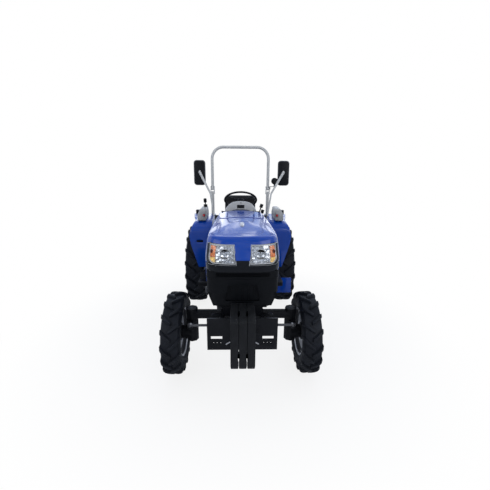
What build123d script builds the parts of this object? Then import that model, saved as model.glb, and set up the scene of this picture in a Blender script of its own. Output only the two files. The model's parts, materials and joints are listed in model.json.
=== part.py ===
from build123d import *
from math import asin, atan2, cos, degrees, pi, radians, sin, sqrt, tan
import os

# Compact four-wheel-drive tractor, in millimetres.
# X runs to the tractor's left, -Y is the front, Z is up from the ground.
# The origin is on the ground in the middle of the whole machine.

# Driving sizes of the whole machine
# Names in ..._run are lengths along the tractor from an axle.
# Names in ..._rise are heights over the rear axle.
wheelbase = 1600.0
front_overhang = 680.0
rear_overhang = 720.0
overall_length = front_overhang + wheelbase + rear_overhang
front_axle_y = -overall_length / 2 + front_overhang
rear_axle_y = front_axle_y + wheelbase

# Fits and clearances
running_gap = 0.05
seat_gap = 0.3
free_gap = 6.0
overrun = 12.0

# Front wheels, 6.00-16
front_tyre_radius = 365.0
front_tyre_width = 165.0
front_half_track = 592.0
front_section_height = 162.0
front_bead_radius = front_tyre_radius - front_section_height
front_rim_width = 112.0
front_lug_height = 24.0
front_lug_thickness = 36.0
front_lug_sweep = 72.0
front_lugs_per_side = 16

# Rear wheels, 9.5-24
rear_tyre_radius = 525.0
rear_tyre_width = 240.0
rear_half_track = 582.0
rear_section_height = 220.0
rear_bead_radius = rear_tyre_radius - rear_section_height
rear_rim_width = 190.0
rear_lug_height = 32.0
rear_lug_thickness = 46.0
rear_lug_sweep = 112.0
rear_lugs_per_side = 18

# Shapes that both sizes of tyre share, as shares of the tyre's width or section height
crown_width_share = 0.80
shoulder_drop_share = 0.36
lug_root_lift_share = 0.06
lug_draft_share = 0.05
facets_per_lug = 3 / 2
lug_centre_overlap_share = 0.06


def block(x, y, z):
    """Box given by a (low, high) pair on each axis."""
    corner = Pos(x[0], y[0], z[0])
    return corner * Box(x[1] - x[0], y[1] - y[0], z[1] - z[0], align=(Align.MIN, Align.MIN, Align.MIN))


def push(points, start, stop, direction):
    """Solid between two planes across one axis, from a closed outline drawn on the first plane."""
    face = make_face(Polyline(points, close=True))
    return extrude(face, amount=stop - start, dir=direction)


def slab_x(outline, x):
    """Outline of (y, z) pairs pushed along X."""
    return push([(x[0], py, pz) for py, pz in outline], x[0], x[1], Axis.X.direction)


def slab_y(outline, y):
    """Outline of (x, z) pairs pushed along Y."""
    return push([(px, y[0], pz) for px, pz in outline], y[0], y[1], Axis.Y.direction)


def slab_z(outline, z):
    """Outline of (x, y) pairs pushed along Z."""
    return push([(px, py, z[0]) for px, py in outline], z[0], z[1], Axis.Z.direction)


def soft_slab_x(outline, radii, x):
    """Outline of (y, z) pairs with rounded corners, pushed along X."""
    line = FilletPolyline([(x[0], py, pz) for py, pz in outline], radius=radii, close=True)
    return extrude(make_face(line), amount=x[1] - x[0], dir=Axis.X.direction)


def soft_slab_y(outline, radii, y):
    """Outline of (x, z) pairs with rounded corners, pushed along Y."""
    line = FilletPolyline([(px, y[0], pz) for px, pz in outline], radius=radii, close=True)
    return extrude(make_face(line), amount=y[1] - y[0], dir=Axis.Y.direction)


def soft_slab_z(outline, radii, z):
    """Outline of (x, y) pairs with rounded corners, pushed along Z."""
    line = FilletPolyline([(px, py, z[0]) for px, py in outline], radius=radii, close=True)
    return extrude(make_face(line), amount=z[1] - z[0], dir=Axis.Z.direction)


def rod(start, end, radius):
    """Round bar between two points."""
    along = Vector(end) - Vector(start)
    seat = Plane(origin=start, z_dir=along)
    return seat * Cylinder(radius, along.length, align=(Align.CENTER, Align.CENTER, Align.MIN))


def flat_faced(rings):
    """Solid with flat faces, from rings of as many corners each, one after another."""
    faces = [Face(Wire.make_polygon(ring, close=True)) for ring in (rings[0], rings[-1])]
    for ring, following in zip(rings, rings[1:]):
        for here in range(len(ring)):
            after = (here + 1) % len(ring)
            corners = [ring[here], ring[after], following[after], following[here]]
            faces.append(Face(Wire.make_polygon(corners, close=True)))
    return Solid(Shell(faces))


def flat_ring(section, sides):
    """Ring about the X axis with flat sides, from the (along, radius) corners of its section."""
    hoops = []
    for along, radius in section:
        turns = [2 * pi * step / sides for step in range(sides)]
        hoops.append([(along, radius * sin(turn), radius * cos(turn)) for turn in turns])
    faces = []
    for hoop, following in zip(hoops, hoops[1:] + hoops[:1]):
        for here in range(sides):
            after = (here + 1) % sides
            corners = [hoop[here], hoop[after], following[after], following[here]]
            faces.append(Face(Wire.make_polygon(corners, close=True)))
    return Solid(Shell(faces))


def cast_bar(start, end, radius, sides=8):
    """Cast or forged bar with flat sides between two points."""
    along = Vector(end) - Vector(start)
    seat = Plane(origin=start, z_dir=along)
    return extrude(seat * RegularPolygon(radius, sides), along.length)


def flat_tube(route, radius, sides=8):
    """Solid tube with flat sides along a route, mitred at every bend."""
    points = [Vector(point) for point in route]
    first = (points[1] - points[0]).normalized()
    seat = Plane(origin=points[0], z_dir=first)
    turns = [2 * pi * step / sides for step in range(sides)]
    ring = [
        seat.origin + seat.x_dir * (radius * cos(turn)) + seat.y_dir * (radius * sin(turn)) for turn in turns
    ]
    rings = [ring]
    for step in range(1, len(points)):
        along = (points[step] - points[step - 1]).normalized()
        if step < len(points) - 1:
            normal = along + (points[step + 1] - points[step]).normalized()
        else:
            normal = along
        ring = [
            corner + along * ((points[step] - corner).dot(normal) / along.dot(normal)) for corner in ring
        ]
        rings.append(ring)
    return flat_faced([[tuple(corner) for corner in ring] for ring in rings])


def both(solid):
    """The solid on the left and its mirror image on the right."""
    return [solid, mirror(solid, about=Plane.YZ)]


def save(node, *shapes):
    """One file for each node, holding every solid of the shapes given."""
    solids = []
    for shape in shapes:
        for piece in shape if isinstance(shape, list) else [shape]:
            solids.extend(piece.solids())
    export_step(Compound(solids), f"parts/{node}.step")


# Wheels

rim_wall = 7.0
rim_lip = 14.0
rim_lip_width = 12.0
disc_thickness = 8.0
disc_corners = 8
disc_holes = 6
hole_corners = 6
hole_size_share = 0.24


def tyre(radius, width, bead_radius, rim_width, lug_height, lug_thickness, lug_sweep, lugs):
    """Bar-tread tyre about the X axis: a carcass with flats, and two staggered rows of slanted lugs."""
    section = radius - bead_radius
    crown = radius - lug_height
    shoulder = crown - shoulder_drop_share * (crown - bead_radius)
    half = width / 2
    crown_half = crown_width_share * half
    bead_half = rim_width / 2
    right = [(crown_half, crown), (half, shoulder), (bead_half, bead_radius)]
    left = [(-along, size) for along, size in reversed(right)]
    body = flat_ring(right + left, int(facets_per_lug * lugs))

    reach = lug_sweep / 2 + lug_thickness / 2
    top = sqrt(radius * radius - reach * reach)
    root = shoulder + lug_root_lift_share * section
    draft = lug_draft_share * section
    slope = (half - crown_half) / (crown - shoulder)
    foot = crown_half + slope * (crown - sqrt(root * root + reach * reach))
    inner = -lug_centre_overlap_share * width

    def corners(height, grow, outer):
        half_bar = lug_thickness / 2 + grow
        trail = lug_sweep * ((outer - inner) / (half - inner) - 1 / 2)
        return [
            (inner, -lug_sweep / 2 - half_bar, height),
            (outer, trail - half_bar, height),
            (outer, trail + half_bar, height),
            (inner, -lug_sweep / 2 + half_bar, height),
        ]

    lug = flat_faced([corners(root, draft, foot), corners(top, 0, foot - draft)])
    other = mirror(lug, about=Plane.YZ)
    pitch = 360 / lugs
    phase = degrees(atan2(reach, top))
    row = []
    for step in range(lugs):
        row.append(Rot(phase + pitch * step, 0, 0) * lug)
        row.append(Rot(phase + pitch * (step + 1 / 2), 0, 0) * other)
    return body.fuse(*row)


def rim(bead_radius, rim_width, disc_at, hub_radius, sides):
    """Rim ring with flared lips, and the plate disc with hand holes that joins it to the hub."""
    outer = bead_radius - seat_gap
    inner = outer - rim_wall
    bead = rim_width / 2 + seat_gap
    half = bead + rim_lip_width
    lip = outer + rim_lip
    right = [(bead, outer), (half, lip), (half, inner)]
    left = [(-along, size) for along, size in reversed(right)]
    ring = flat_ring(right + left, sides)
    seat = Plane(origin=(disc_at, 0, 0), z_dir=Axis.X.direction)
    plate = extrude(seat * RegularPolygon(inner + rim_wall / 2, disc_corners), disc_thickness)
    band = inner - hub_radius
    ends = (disc_at - overrun, disc_at + disc_thickness + overrun)
    for step in range(disc_holes):
        turn = 2 * pi * (step + 1 / 2) / disc_holes
        centre = ((hub_radius + band / 2) * sin(turn), (hub_radius + band / 2) * cos(turn))
        plate -= cast_bar((ends[0], *centre), (ends[1], *centre), hole_size_share * band, hole_corners)
    return ring + plate


# Left front wheel carrier: the drop gear case that turns about the kingpin

kingpin_x = 450.0
kingpin_radius = 20.0
kingpin_length = 80.0
axle_height_rise = 15.0
axle_height = rear_tyre_radius + axle_height_rise
axle_tube_radius = 42.0
axle_end_radius = 54.0
axle_end_drop = 44.0
axle_end_rise = 62.0
case_radius = 56.0
case_bottom_drop = 72.0
hub_housing_radius = 60.0
hub_housing_reach = 96.0
spindle_radius = 22.0
spindle_depth = 60.0
hub_flange_radius = 78.0
hub_flange_width = 14.0
steer_arm_length = 150.0
steer_arm_width = 44.0
steer_arm_thickness = 16.0
steer_arm_round = 19.8
steer_pin_radius = 9.0
tie_rod_radius = 11.0
tie_eye_radius = 20.0
tie_eye_height = 24.0

axle_end_bottom = axle_height - axle_end_drop
case_top = axle_end_bottom - seat_gap
steer_arm_top = case_top - 2 * seat_gap
tie_rod_z = steer_arm_top + seat_gap + tie_eye_height / 2
steer_pin_y = front_axle_y - steer_arm_length
hub_face_x = kingpin_x + hub_housing_reach


def knuckle():
    """Vertical gear case, hub housing, kingpin and steering arm, as one casting on the left."""
    centre = front_tyre_radius
    case = cast_bar(
        (kingpin_x, front_axle_y, centre - case_bottom_drop),
        (kingpin_x, front_axle_y, case_top),
        case_radius,
    )
    housing = cast_bar(
        (kingpin_x, front_axle_y, centre),
        (hub_face_x, front_axle_y, centre),
        hub_housing_radius,
    )
    pin_top = axle_end_bottom + kingpin_length
    kingpin = rod(
        (kingpin_x, front_axle_y, case_top - overrun),
        (kingpin_x, front_axle_y, pin_top),
        kingpin_radius,
    )
    half = steer_arm_width / 2
    arm = soft_slab_z(
        [
            (kingpin_x - half, front_axle_y),
            (kingpin_x - half, steer_pin_y - half),
            (kingpin_x + half, steer_pin_y - half),
            (kingpin_x + half, front_axle_y),
        ],
        [0, steer_arm_round, steer_arm_round, 0],
        (steer_arm_top - steer_arm_thickness, steer_arm_top),
    )
    pin_end = steer_arm_top + 2 * seat_gap + tie_eye_height
    steer_pin = rod(
        (kingpin_x, steer_pin_y, steer_arm_top - steer_arm_thickness / 2),
        (kingpin_x, steer_pin_y, pin_end),
        steer_pin_radius,
    )
    bore_end = (hub_face_x + overrun, front_axle_y, centre)
    bore = rod((hub_face_x - spindle_depth, front_axle_y, centre), bore_end, spindle_radius + running_gap)
    return case + housing + kingpin + arm + steer_pin - bore


def tie_rod():
    """Steering tie rod with an eye over each arm's pin."""
    end = kingpin_x - tie_eye_radius / 2
    body = rod((-end, steer_pin_y, tie_rod_z), (end, steer_pin_y, tie_rod_z), tie_rod_radius)
    half = tie_eye_height / 2
    for side in (-1, 1):
        x = side * kingpin_x
        body += cast_bar(
            (x, steer_pin_y, tie_rod_z - half),
            (x, steer_pin_y, tie_rod_z + half),
            tie_eye_radius,
            8,
        )
    for side in (-1, 1):
        x = side * kingpin_x
        low = (x, steer_pin_y, tie_rod_z - half - overrun)
        high = (x, steer_pin_y, tie_rod_z + half + overrun)
        body -= rod(low, high, steer_pin_radius + running_gap)
    return body


def front_hub():
    """Flange and spindle that turn with the left front wheel."""
    centre = front_tyre_radius
    face = hub_face_x + seat_gap
    flange = cast_bar(
        (face, front_axle_y, centre),
        (face + hub_flange_width, front_axle_y, centre),
        hub_flange_radius,
    )
    inner = hub_face_x - spindle_depth + seat_gap
    spindle = rod(
        (inner, front_axle_y, centre),
        (face + hub_flange_width, front_axle_y, centre),
        spindle_radius,
    )
    return flange + spindle


# Front axle beam, its centre case and the trunnions it hangs on

diff_half_width = 92.0
diff_half_length = 60.0
diff_rise = 74.0
diff_chamfer = 24.0
trunnion_radius = 30.0
trunnion_reach = 36.0
drive_tube_radius = 27.0


def front_axle():
    """Tube beam with a centre case, vertical end housings and trunnions along the tractor."""
    z = axle_height
    y = front_axle_y
    beam = cast_bar((-kingpin_x, y, z), (kingpin_x, y, z), axle_tube_radius, 12)
    for side in (-1, 1):
        x = side * kingpin_x
        beam += cast_bar((x, y, axle_end_bottom), (x, y, z + axle_end_rise), axle_end_radius)
    c = diff_chamfer
    case = slab_x(
        [
            (y - diff_half_length, z - diff_rise + c),
            (y - diff_half_length + c, z - diff_rise),
            (y + diff_half_length - c, z - diff_rise),
            (y + diff_half_length, z - diff_rise + c),
            (y + diff_half_length, z + diff_rise - c),
            (y + diff_half_length - c, z + diff_rise),
            (y - diff_half_length + c, z + diff_rise),
            (y - diff_half_length, z + diff_rise - c),
        ],
        (-diff_half_width, diff_half_width),
    )
    beam += case
    reach = diff_half_length + trunnion_reach
    beam += cast_bar((0, y - reach, z), (0, y + reach, z), trunnion_radius)
    for side in (-1, 1):
        x = side * kingpin_x
        low = (x, y, axle_end_bottom - overrun)
        high = (x, y, axle_end_bottom + kingpin_length + seat_gap)
        beam -= rod(low, high, kingpin_radius + running_gap)
    return beam


# Front frame: two rails, cross members and the trunnion brackets

rail_inner_x = 140.0
rail_outer_x = 172.0
rail_bottom_rise = 97.0
rail_bottom = rear_tyre_radius + rail_bottom_rise
rail_top_rise = 187.0
rail_top = rear_tyre_radius + rail_top_rise
rail_front_run = -446.0
rail_front_y = front_axle_y + rail_front_run
rail_rear_run = 300.0
rail_rear_y = front_axle_y + rail_rear_run
cross_depth = 44.0
cross_member_height = 30.0
bracket_half_width = 62.0
bracket_thickness = 30.0
bracket_drop = 42.0


def front_frame():
    """Rails from the weight plate back to the engine, with the brackets that the axle swings in."""
    frame = block((rail_inner_x, rail_outer_x), (rail_front_y, rail_rear_y), (rail_bottom, rail_top))
    frame += mirror(frame, about=Plane.YZ)
    frame += block(
        (-rail_inner_x, rail_inner_x),
        (rail_front_y, rail_front_y + cross_depth),
        (rail_bottom, rail_top),
    )
    near = diff_half_length + seat_gap
    for side in (-1, 1):
        inner = front_axle_y + side * near
        outer = front_axle_y + side * (near + bracket_thickness)
        y = (min(inner, outer), max(inner, outer))
        member_bottom = rail_bottom - cross_member_height
        frame += block((-rail_outer_x, rail_outer_x), y, (member_bottom, rail_bottom))
        frame += block(
            (-bracket_half_width, bracket_half_width),
            y,
            (axle_height - bracket_drop, member_bottom),
        )
    bore_reach = near + bracket_thickness + overrun
    low = (0, front_axle_y - bore_reach, axle_height)
    high = (0, front_axle_y + bore_reach, axle_height)
    return frame - cast_bar(low, high, trunnion_radius + running_gap)


# Weight bracket and the three suitcase weights

plate_half_width = 268.0
plate_bottom_rise = -54.0
plate_bottom = rear_tyre_radius + plate_bottom_rise
plate_top_rise = 209.0
plate_top = rear_tyre_radius + plate_top_rise
plate_thickness = 16.0
plate_slot_inner_x = 153.0
plate_slot_outer_x = 240.0
plate_slot_lift = 87.0
plate_slot_bottom = plate_bottom + plate_slot_lift
plate_slot_height = 29.0
plate_slot_top = plate_slot_bottom + plate_slot_height
plate_hole_radius = 7.0
plate_hole_lift = 57.0
plate_hole_z = plate_bottom + plate_hole_lift
plate_hole_first_x = 165.0
plate_hole_pitch = 27.0
plate_holes_per_side = 3
plate_front_y = rail_front_y - plate_thickness
weight_width = 57.0
weight_gap = 1.5
weight_count = 3
weight_front_y = -overall_length / 2
weight_bottom_rise = -80.0
weight_bottom = rear_tyre_radius + weight_bottom_rise
weight_brow_rise = 292.0
weight_brow_z = rear_tyre_radius + weight_brow_rise
weight_back_rise = 337.0
weight_back_z = rear_tyre_radius + weight_back_rise
weight_hook_depth = 22.0
weight_hook_drop = 40.0
weight_hook_rise = 34.0
weight_toe = 34.0
weight_slot_width = 16.0
weight_slot_length = 62.0
weight_slot_depth = 34.0
weight_slot_lift = 74.0


def weight_bracket():
    """Upright plate with a slot each side and a row of holes."""
    y = (plate_front_y, rail_front_y)
    plate = block((-plate_half_width, plate_half_width), y, (plate_bottom, plate_top))
    cut_y = (y[0] - overrun, y[1] + overrun)
    for side in (-1, 1):
        inner = side * plate_slot_inner_x
        outer = side * plate_slot_outer_x
        plate -= block((min(inner, outer), max(inner, outer)), cut_y, (plate_slot_bottom, plate_slot_top))
        for step in range(plate_holes_per_side):
            x = side * (plate_hole_first_x + step * plate_hole_pitch)
            plate -= cast_bar(
                (x, cut_y[0], plate_hole_z),
                (x, cut_y[1], plate_hole_z),
                plate_hole_radius,
                6,
            )
    return plate


def front_weights():
    """Suitcase weights hooked over the top of the plate, side by side."""
    front = weight_front_y
    back = plate_front_y - seat_gap
    hook_back = rail_front_y + seat_gap + weight_hook_depth
    hook_z = plate_top + seat_gap
    hook_top = hook_z + weight_hook_rise
    toe = weight_toe
    depth = back - front
    profile = [
        (front, weight_bottom + toe),
        (front + toe, weight_bottom),
        (back - depth / 3, weight_bottom),
        (back, weight_bottom + depth / 3),
        (back, hook_z),
        (rail_front_y + seat_gap, hook_z),
        (rail_front_y + seat_gap, hook_z - weight_hook_drop / 2),
        (hook_back, hook_z - weight_hook_drop / 2),
        (hook_back, hook_top - weight_hook_drop / 4),
        (back, hook_top),
        (back, weight_back_z),
        (front + toe / 3, weight_brow_z),
        (front, weight_brow_z - toe / 3),
    ]
    pitch = weight_width + weight_gap
    first = -(weight_count * weight_width + (weight_count - 1) * weight_gap) / 2
    weights = [
        slab_x(profile, (first + step * pitch, first + step * pitch + weight_width)) for step in range(
            weight_count
        )
    ]
    for step in range(1, weight_count):
        middle = first + step * pitch - weight_gap / 2
        x = (middle - weight_slot_width / 2, middle + weight_slot_width / 2)
        low_z = (weight_bottom + weight_slot_lift, weight_bottom + weight_slot_lift + weight_slot_length)
        low_slot = block(x, (front - overrun, front + weight_slot_depth), low_z)
        top_y = (front + weight_slot_length, front + 2 * weight_slot_length)
        top_slot = block(x, top_y, (weight_brow_z - weight_slot_depth, weight_back_z + overrun))
        weights = [weight - low_slot - top_slot for weight in weights]
    return weights


# Engine, cooling pack and exhaust

engine_half_width = 128.0
engine_front_run = -80.0
engine_front_y = front_axle_y + engine_front_run
engine_rear_run = 450.0
engine_rear_y = front_axle_y + engine_rear_run
engine_bottom_rise = 115.0
engine_bottom = rear_tyre_radius + engine_bottom_rise
block_height = 300.0
engine_deck = engine_bottom + block_height
head_half_width = 92.0
head_height = 70.0
head_top = engine_deck + head_height
cover_half_width = 62.0
cover_height = 56.0
cover_top = head_top + cover_height
mount_pad_length = 120.0
sump_half_width = 108.0
sump_front_run = 120.0
sump_front_y = front_axle_y + sump_front_run
sump_depth = 84.0
sump_bottom = engine_bottom - sump_depth
alternator_radius = 56.0
alternator_length = 130.0
filter_can_radius = 38.0
filter_can_height = 130.0
manifold_depth = 48.0
fan_radius = 165.0
fan_thickness = 14.0
fan_rise = 355.0
fan_z = rear_tyre_radius + fan_rise
fan_shaft_radius = 24.0
pulley_radius = 70.0
radiator_half_width = 205.0
radiator_front_run = -230.0
radiator_front_y = front_axle_y + radiator_front_run
radiator_depth = 62.0
radiator_height = 418.0
radiator_bottom = rail_top
radiator_top = radiator_bottom + radiator_height
battery_half_width = 150.0
battery_front_run = -380.0
battery_front_y = front_axle_y + battery_front_run
battery_depth = 130.0
battery_height = 190.0
filter_radius = 66.0
filter_half_length = 150.0
filter_rise = 625.0
filter_z = rear_tyre_radius + filter_rise
filter_run = 260.0
filter_y = front_axle_y + filter_run
silencer_radius = 58.0
silencer_x = 196.0
silencer_rise = 335.0
silencer_z = rear_tyre_radius + silencer_rise
silencer_length = 330.0
tail_radius = 24.0
tail_drop = 260.0


def engine():
    """Three-cylinder block with sump, head and rocker cover."""
    y = (engine_front_y, engine_rear_y)
    body = block((-engine_half_width, engine_half_width), y, (engine_bottom, engine_deck))
    body += block((-head_half_width, head_half_width), y, (engine_deck, head_top))
    inset = head_half_width - cover_half_width
    cover_y = (engine_front_y + inset, engine_rear_y - inset)
    body += block((-cover_half_width, cover_half_width), cover_y, (head_top, cover_top))
    body += block(
        (-sump_half_width, sump_half_width),
        (sump_front_y, engine_rear_y),
        (sump_bottom, engine_bottom),
    )
    pad_x = rail_inner_x - seat_gap
    pad_y = (rail_rear_y - mount_pad_length, rail_rear_y)
    body += block((-pad_x, pad_x), pad_y, (engine_bottom, rail_top))
    nose = cast_bar(
        (0, engine_front_y, fan_z),
        (0, engine_front_y - pulley_radius, fan_z),
        fan_shaft_radius,
    )
    fitted, manifold = accessories()
    return body + nose + fitted + manifold


def accessories():
    """Alternator, oil filter and inlet manifold on the left side of the block."""
    x = engine_half_width
    run = (engine_front_y + alternator_radius, engine_front_y + alternator_radius + alternator_length)
    place = (x + alternator_radius / 2, fan_z - alternator_radius / 2)
    alternator = cast_bar((place[0], run[0], place[1]), (place[0], run[1], place[1]), alternator_radius, 10)
    filter_top = rail_top + filter_can_radius + filter_can_height
    can_y = (engine_front_y + engine_rear_y) / 2
    can_x = x + filter_can_radius
    can = cast_bar(
        (can_x, can_y, filter_top - filter_can_height),
        (can_x, can_y, filter_top),
        filter_can_radius,
        10,
    )
    can += block(
        (x, can_x),
        (can_y - filter_can_radius / 2, can_y + filter_can_radius / 2),
        (filter_top - filter_can_radius, filter_top),
    )
    inlet = (head_half_width, head_half_width + manifold_depth)
    manifold = block(
        inlet,
        (engine_front_y + manifold_depth, engine_rear_y - manifold_depth),
        (engine_deck + manifold_depth / 4, head_top - manifold_depth / 4),
    )
    return alternator + can, manifold


def fan():
    """Cooling fan, drawn as its swept disc with a pulley behind it."""
    front = engine_front_y - pulley_radius - seat_gap
    return cast_bar((0, front - fan_thickness, fan_z), (0, front, fan_z), fan_radius, 16)


def radiator():
    """Radiator core standing on the rails, and the battery in front of it."""
    y = (radiator_front_y, radiator_front_y + radiator_depth)
    core = block((-radiator_half_width, radiator_half_width), y, (radiator_bottom, radiator_top))
    return core


def battery():
    """Battery on the rails behind the grille."""
    y = (battery_front_y, battery_front_y + battery_depth)
    return block((-battery_half_width, battery_half_width), y, (rail_top, rail_top + battery_height))


def air_cleaner():
    """Air cleaner lying across behind the radiator, on the rocker cover."""
    low = (0, filter_y - filter_half_length, filter_z)
    high = (0, filter_y + filter_half_length, filter_z)
    body = cast_bar(low, high, filter_radius, 16)
    foot = block(
        (-filter_radius / 2, filter_radius / 2),
        (filter_y - filter_radius, filter_y + filter_radius),
        (cover_top, filter_z),
    )
    return body + foot


def exhaust():
    """Silencer along the right side of the engine with its tail pipe turned down."""
    x = -silencer_x
    mid = (engine_front_y + engine_rear_y) / 2
    front = (x, mid - silencer_length / 2, silencer_z)
    rear = (x, mid + silencer_length / 2, silencer_z)
    body = cast_bar(front, rear, silencer_radius)
    body += cast_bar((-engine_half_width - seat_gap, mid, silencer_z), (x, mid, silencer_z), tail_radius, 8)
    bend = (x, front[1] - 2 * tail_radius, silencer_z)
    tip = (x, bend[1] - tail_radius, silencer_z - tail_drop)
    body += flat_tube([front, bend, tip], tail_radius, 8)
    return body


# Clutch housing, gearbox, rear axle and hitch housing

bell_half_width = 170.0
bell_length = 140.0
bell_rear_y = engine_rear_y + bell_length
bell_bottom_rise = -45.0
bell_bottom = rear_tyre_radius + bell_bottom_rise
bell_top_rise = 325.0
bell_top = rear_tyre_radius + bell_top_rise
gearbox_half_width = 118.0
gearbox_rear_run = -140.0
gearbox_rear_y = rear_axle_y + gearbox_rear_run
gearbox_bottom_rise = -95.0
gearbox_bottom = rear_tyre_radius + gearbox_bottom_rise
gearbox_top_rise = 165.0
gearbox_top = rear_tyre_radius + gearbox_top_rise
rear_case_half_width = 150.0
rear_case_front_y = gearbox_rear_y
rear_case_rear_run = 125.0
rear_case_rear_y = rear_axle_y + rear_case_rear_run
rear_case_bottom_rise = -125.0
rear_case_bottom = rear_tyre_radius + rear_case_bottom_rise
rear_case_top_rise = 215.0
rear_case_top = rear_tyre_radius + rear_case_top_rise
lift_case_half_width = 118.0
lift_case_height = 100.0
lift_case_top = rear_case_top + lift_case_height
lift_case_front_run = -120.0
lift_case_front_y = rear_axle_y + lift_case_front_run
trumpet_inner_radius = 88.0
trumpet_outer_radius = 62.0
trumpet_end_x = 424.0
trumpet_flange_radius = 96.0
trumpet_flange_width = 26.0
trumpet_neck_x = trumpet_end_x - trumpet_flange_width
trumpet_sides = 12
half_shaft_radius = 32.0
half_shaft_depth = 70.0
rear_flange_radius = 100.0
rear_flange_width = 18.0
rear_disc_at = -40.0


def transmission():
    """Clutch housing, gearbox and rear axle case with the hydraulic lift case on top."""
    c = bell_half_width / 3
    bell = slab_y(
        [
            (-bell_half_width + c, bell_bottom),
            (bell_half_width - c, bell_bottom),
            (bell_half_width, bell_bottom + c),
            (bell_half_width, bell_top - c),
            (bell_half_width - c, bell_top),
            (-bell_half_width + c, bell_top),
            (-bell_half_width, bell_top - c),
            (-bell_half_width, bell_bottom + c),
        ],
        (engine_rear_y, bell_rear_y),
    )
    box = block(
        (-gearbox_half_width, gearbox_half_width),
        (bell_rear_y, gearbox_rear_y),
        (gearbox_bottom, gearbox_top),
    )
    case = block(
        (-rear_case_half_width, rear_case_half_width),
        (rear_case_front_y, rear_case_rear_y),
        (rear_case_bottom, rear_case_top),
    )
    lift = block(
        (-lift_case_half_width, lift_case_half_width),
        (lift_case_front_y, rear_case_rear_y),
        (rear_case_top, lift_case_top),
    )
    body = bell + box + case + lift
    reach = lift_case_half_width + overrun
    body -= rod(
        (-reach, arm_pivot_y, arm_pivot_z),
        (reach, arm_pivot_y, arm_pivot_z),
        shaft_radius + running_gap,
    )
    bore_start = (0, rear_case_rear_y - pto_bore_depth, pto_z)
    return body - rod(bore_start, (0, rear_case_rear_y + overrun, pto_z), pto_radius + running_gap)


def trumpet_form(grow):
    """Tapering left axle trumpet with flat sides, larger all round by a gap."""
    rings = []
    for along, radius in (
        (rear_case_half_width, trumpet_inner_radius),
        (trumpet_neck_x, trumpet_outer_radius),
    ):
        turns = [2 * pi * step / trumpet_sides for step in range(trumpet_sides)]
        size = radius + grow
        rings.append(
            [(along, rear_axle_y + size * sin(turn), rear_tyre_radius + size * cos(turn)) for turn in turns]
        )
    return flat_faced(rings)


def rear_axle():
    """Axle trumpets from the rear case to the wheel flanges, each bored for its half shaft."""
    z = rear_tyre_radius
    neck = trumpet_neck_x
    trumpet = trumpet_form(0)
    trumpet += cast_bar((neck, rear_axle_y, z), (trumpet_end_x, rear_axle_y, z), trumpet_flange_radius, 16)
    bore_start = (trumpet_end_x - half_shaft_depth, rear_axle_y, z)
    trumpet -= rod(bore_start, (trumpet_end_x + overrun, rear_axle_y, z), half_shaft_radius + running_gap)
    return both(trumpet)


def rear_hub():
    """Half shaft end and wheel flange that turn with the left rear wheel."""
    z = rear_tyre_radius
    disc_x = rear_half_track + rear_disc_at
    shaft = rod(
        (trumpet_end_x - half_shaft_depth + seat_gap, rear_axle_y, z),
        (disc_x, rear_axle_y, z),
        half_shaft_radius,
    )
    flange = cast_bar(
        (disc_x - rear_flange_width, rear_axle_y, z),
        (disc_x, rear_axle_y, z),
        rear_flange_radius,
    )
    return shaft + flange


def drive_tube():
    """Cover tube of the shaft that drives the front axle, from the gearbox to the centre case."""
    front = front_axle_y + diff_half_length + trunnion_reach + seat_gap
    z = axle_height - drive_tube_radius
    return rod((0, front, z), (0, engine_rear_y - seat_gap, z), drive_tube_radius)


# Drawbar, power take-off shaft and three-point hitch

drawbar_half_width = 32.0
drawbar_thickness = 18.0
drawbar_front_run = -80.0
drawbar_front_y = rear_axle_y + drawbar_front_run
drawbar_rear_run = 310.0
drawbar_rear_y = rear_axle_y + drawbar_rear_run
drawbar_drop = 46.0
drawbar_hole_radius = 13.0
drawbar_hole_inset = 34.0
drawbar_hanger_length = 60.0
pto_radius = 17.5
pto_length = 78.0
pto_rise = 35.0
pto_z = rear_tyre_radius + pto_rise
pto_bore_depth = 40.0
pto_splines = 6
pto_root_radius = 14.8
pto_spline_width = 8.7
link_x = 196.0
link_thickness = 18.0
link_height = 56.0
link_pivot_run = 82.0
link_pivot_y = rear_axle_y + link_pivot_run
link_pivot_rise = -95.0
link_pivot_z = rear_tyre_radius + link_pivot_rise
link_tip_y = overall_length / 2
link_ball_radius = 26.0
link_collar_radius = 18.2
link_hole_radius = 11.2
link_pin_radius = 11.0
arm_reach = 250.0
arm_drop = 15.0
arm_pivot_run = -20.0
arm_pivot_y = rear_axle_y + arm_pivot_run
arm_pivot_rise = 275.0
arm_pivot_z = rear_tyre_radius + arm_pivot_rise
arm_x = 150.0
arm_thickness = 18.0
arm_height = 50.0
shaft_radius = 25.0
lift_pin_radius = 9.0
lift_rod_radius = 10.0
lift_eye_radius = 20.0
top_link_run = 154.0
top_link_y = rear_axle_y + top_link_run
top_link_rise = 195.0
top_link_z = rear_tyre_radius + top_link_rise
top_link_length = 470.0
top_link_radius = 15.0
top_link_rise_angle = 6.0
top_link_eye_radius = 22.0
top_link_pin_radius = 9.5
clevis_inner = 26.5
clevis_thickness = 10.0
clevis_half_height = 30.0


def drawbar():
    """Flat drawbar under the rear case with its pin hole."""
    top = rear_case_bottom - drawbar_drop
    z = (top - drawbar_thickness, top)
    bar = block((-drawbar_half_width, drawbar_half_width), (drawbar_front_y, drawbar_rear_y), z)
    for y in (drawbar_front_y, rear_case_rear_y - drawbar_hanger_length):
        hanger = block(
            (-drawbar_half_width, drawbar_half_width),
            (y, y + drawbar_hanger_length),
            (top, rear_case_bottom),
        )
        bar += hanger
    hole_y = drawbar_rear_y - drawbar_hole_inset
    return bar - rod((0, hole_y, z[0] - overrun), (0, hole_y, z[1] + overrun), drawbar_hole_radius)


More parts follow.
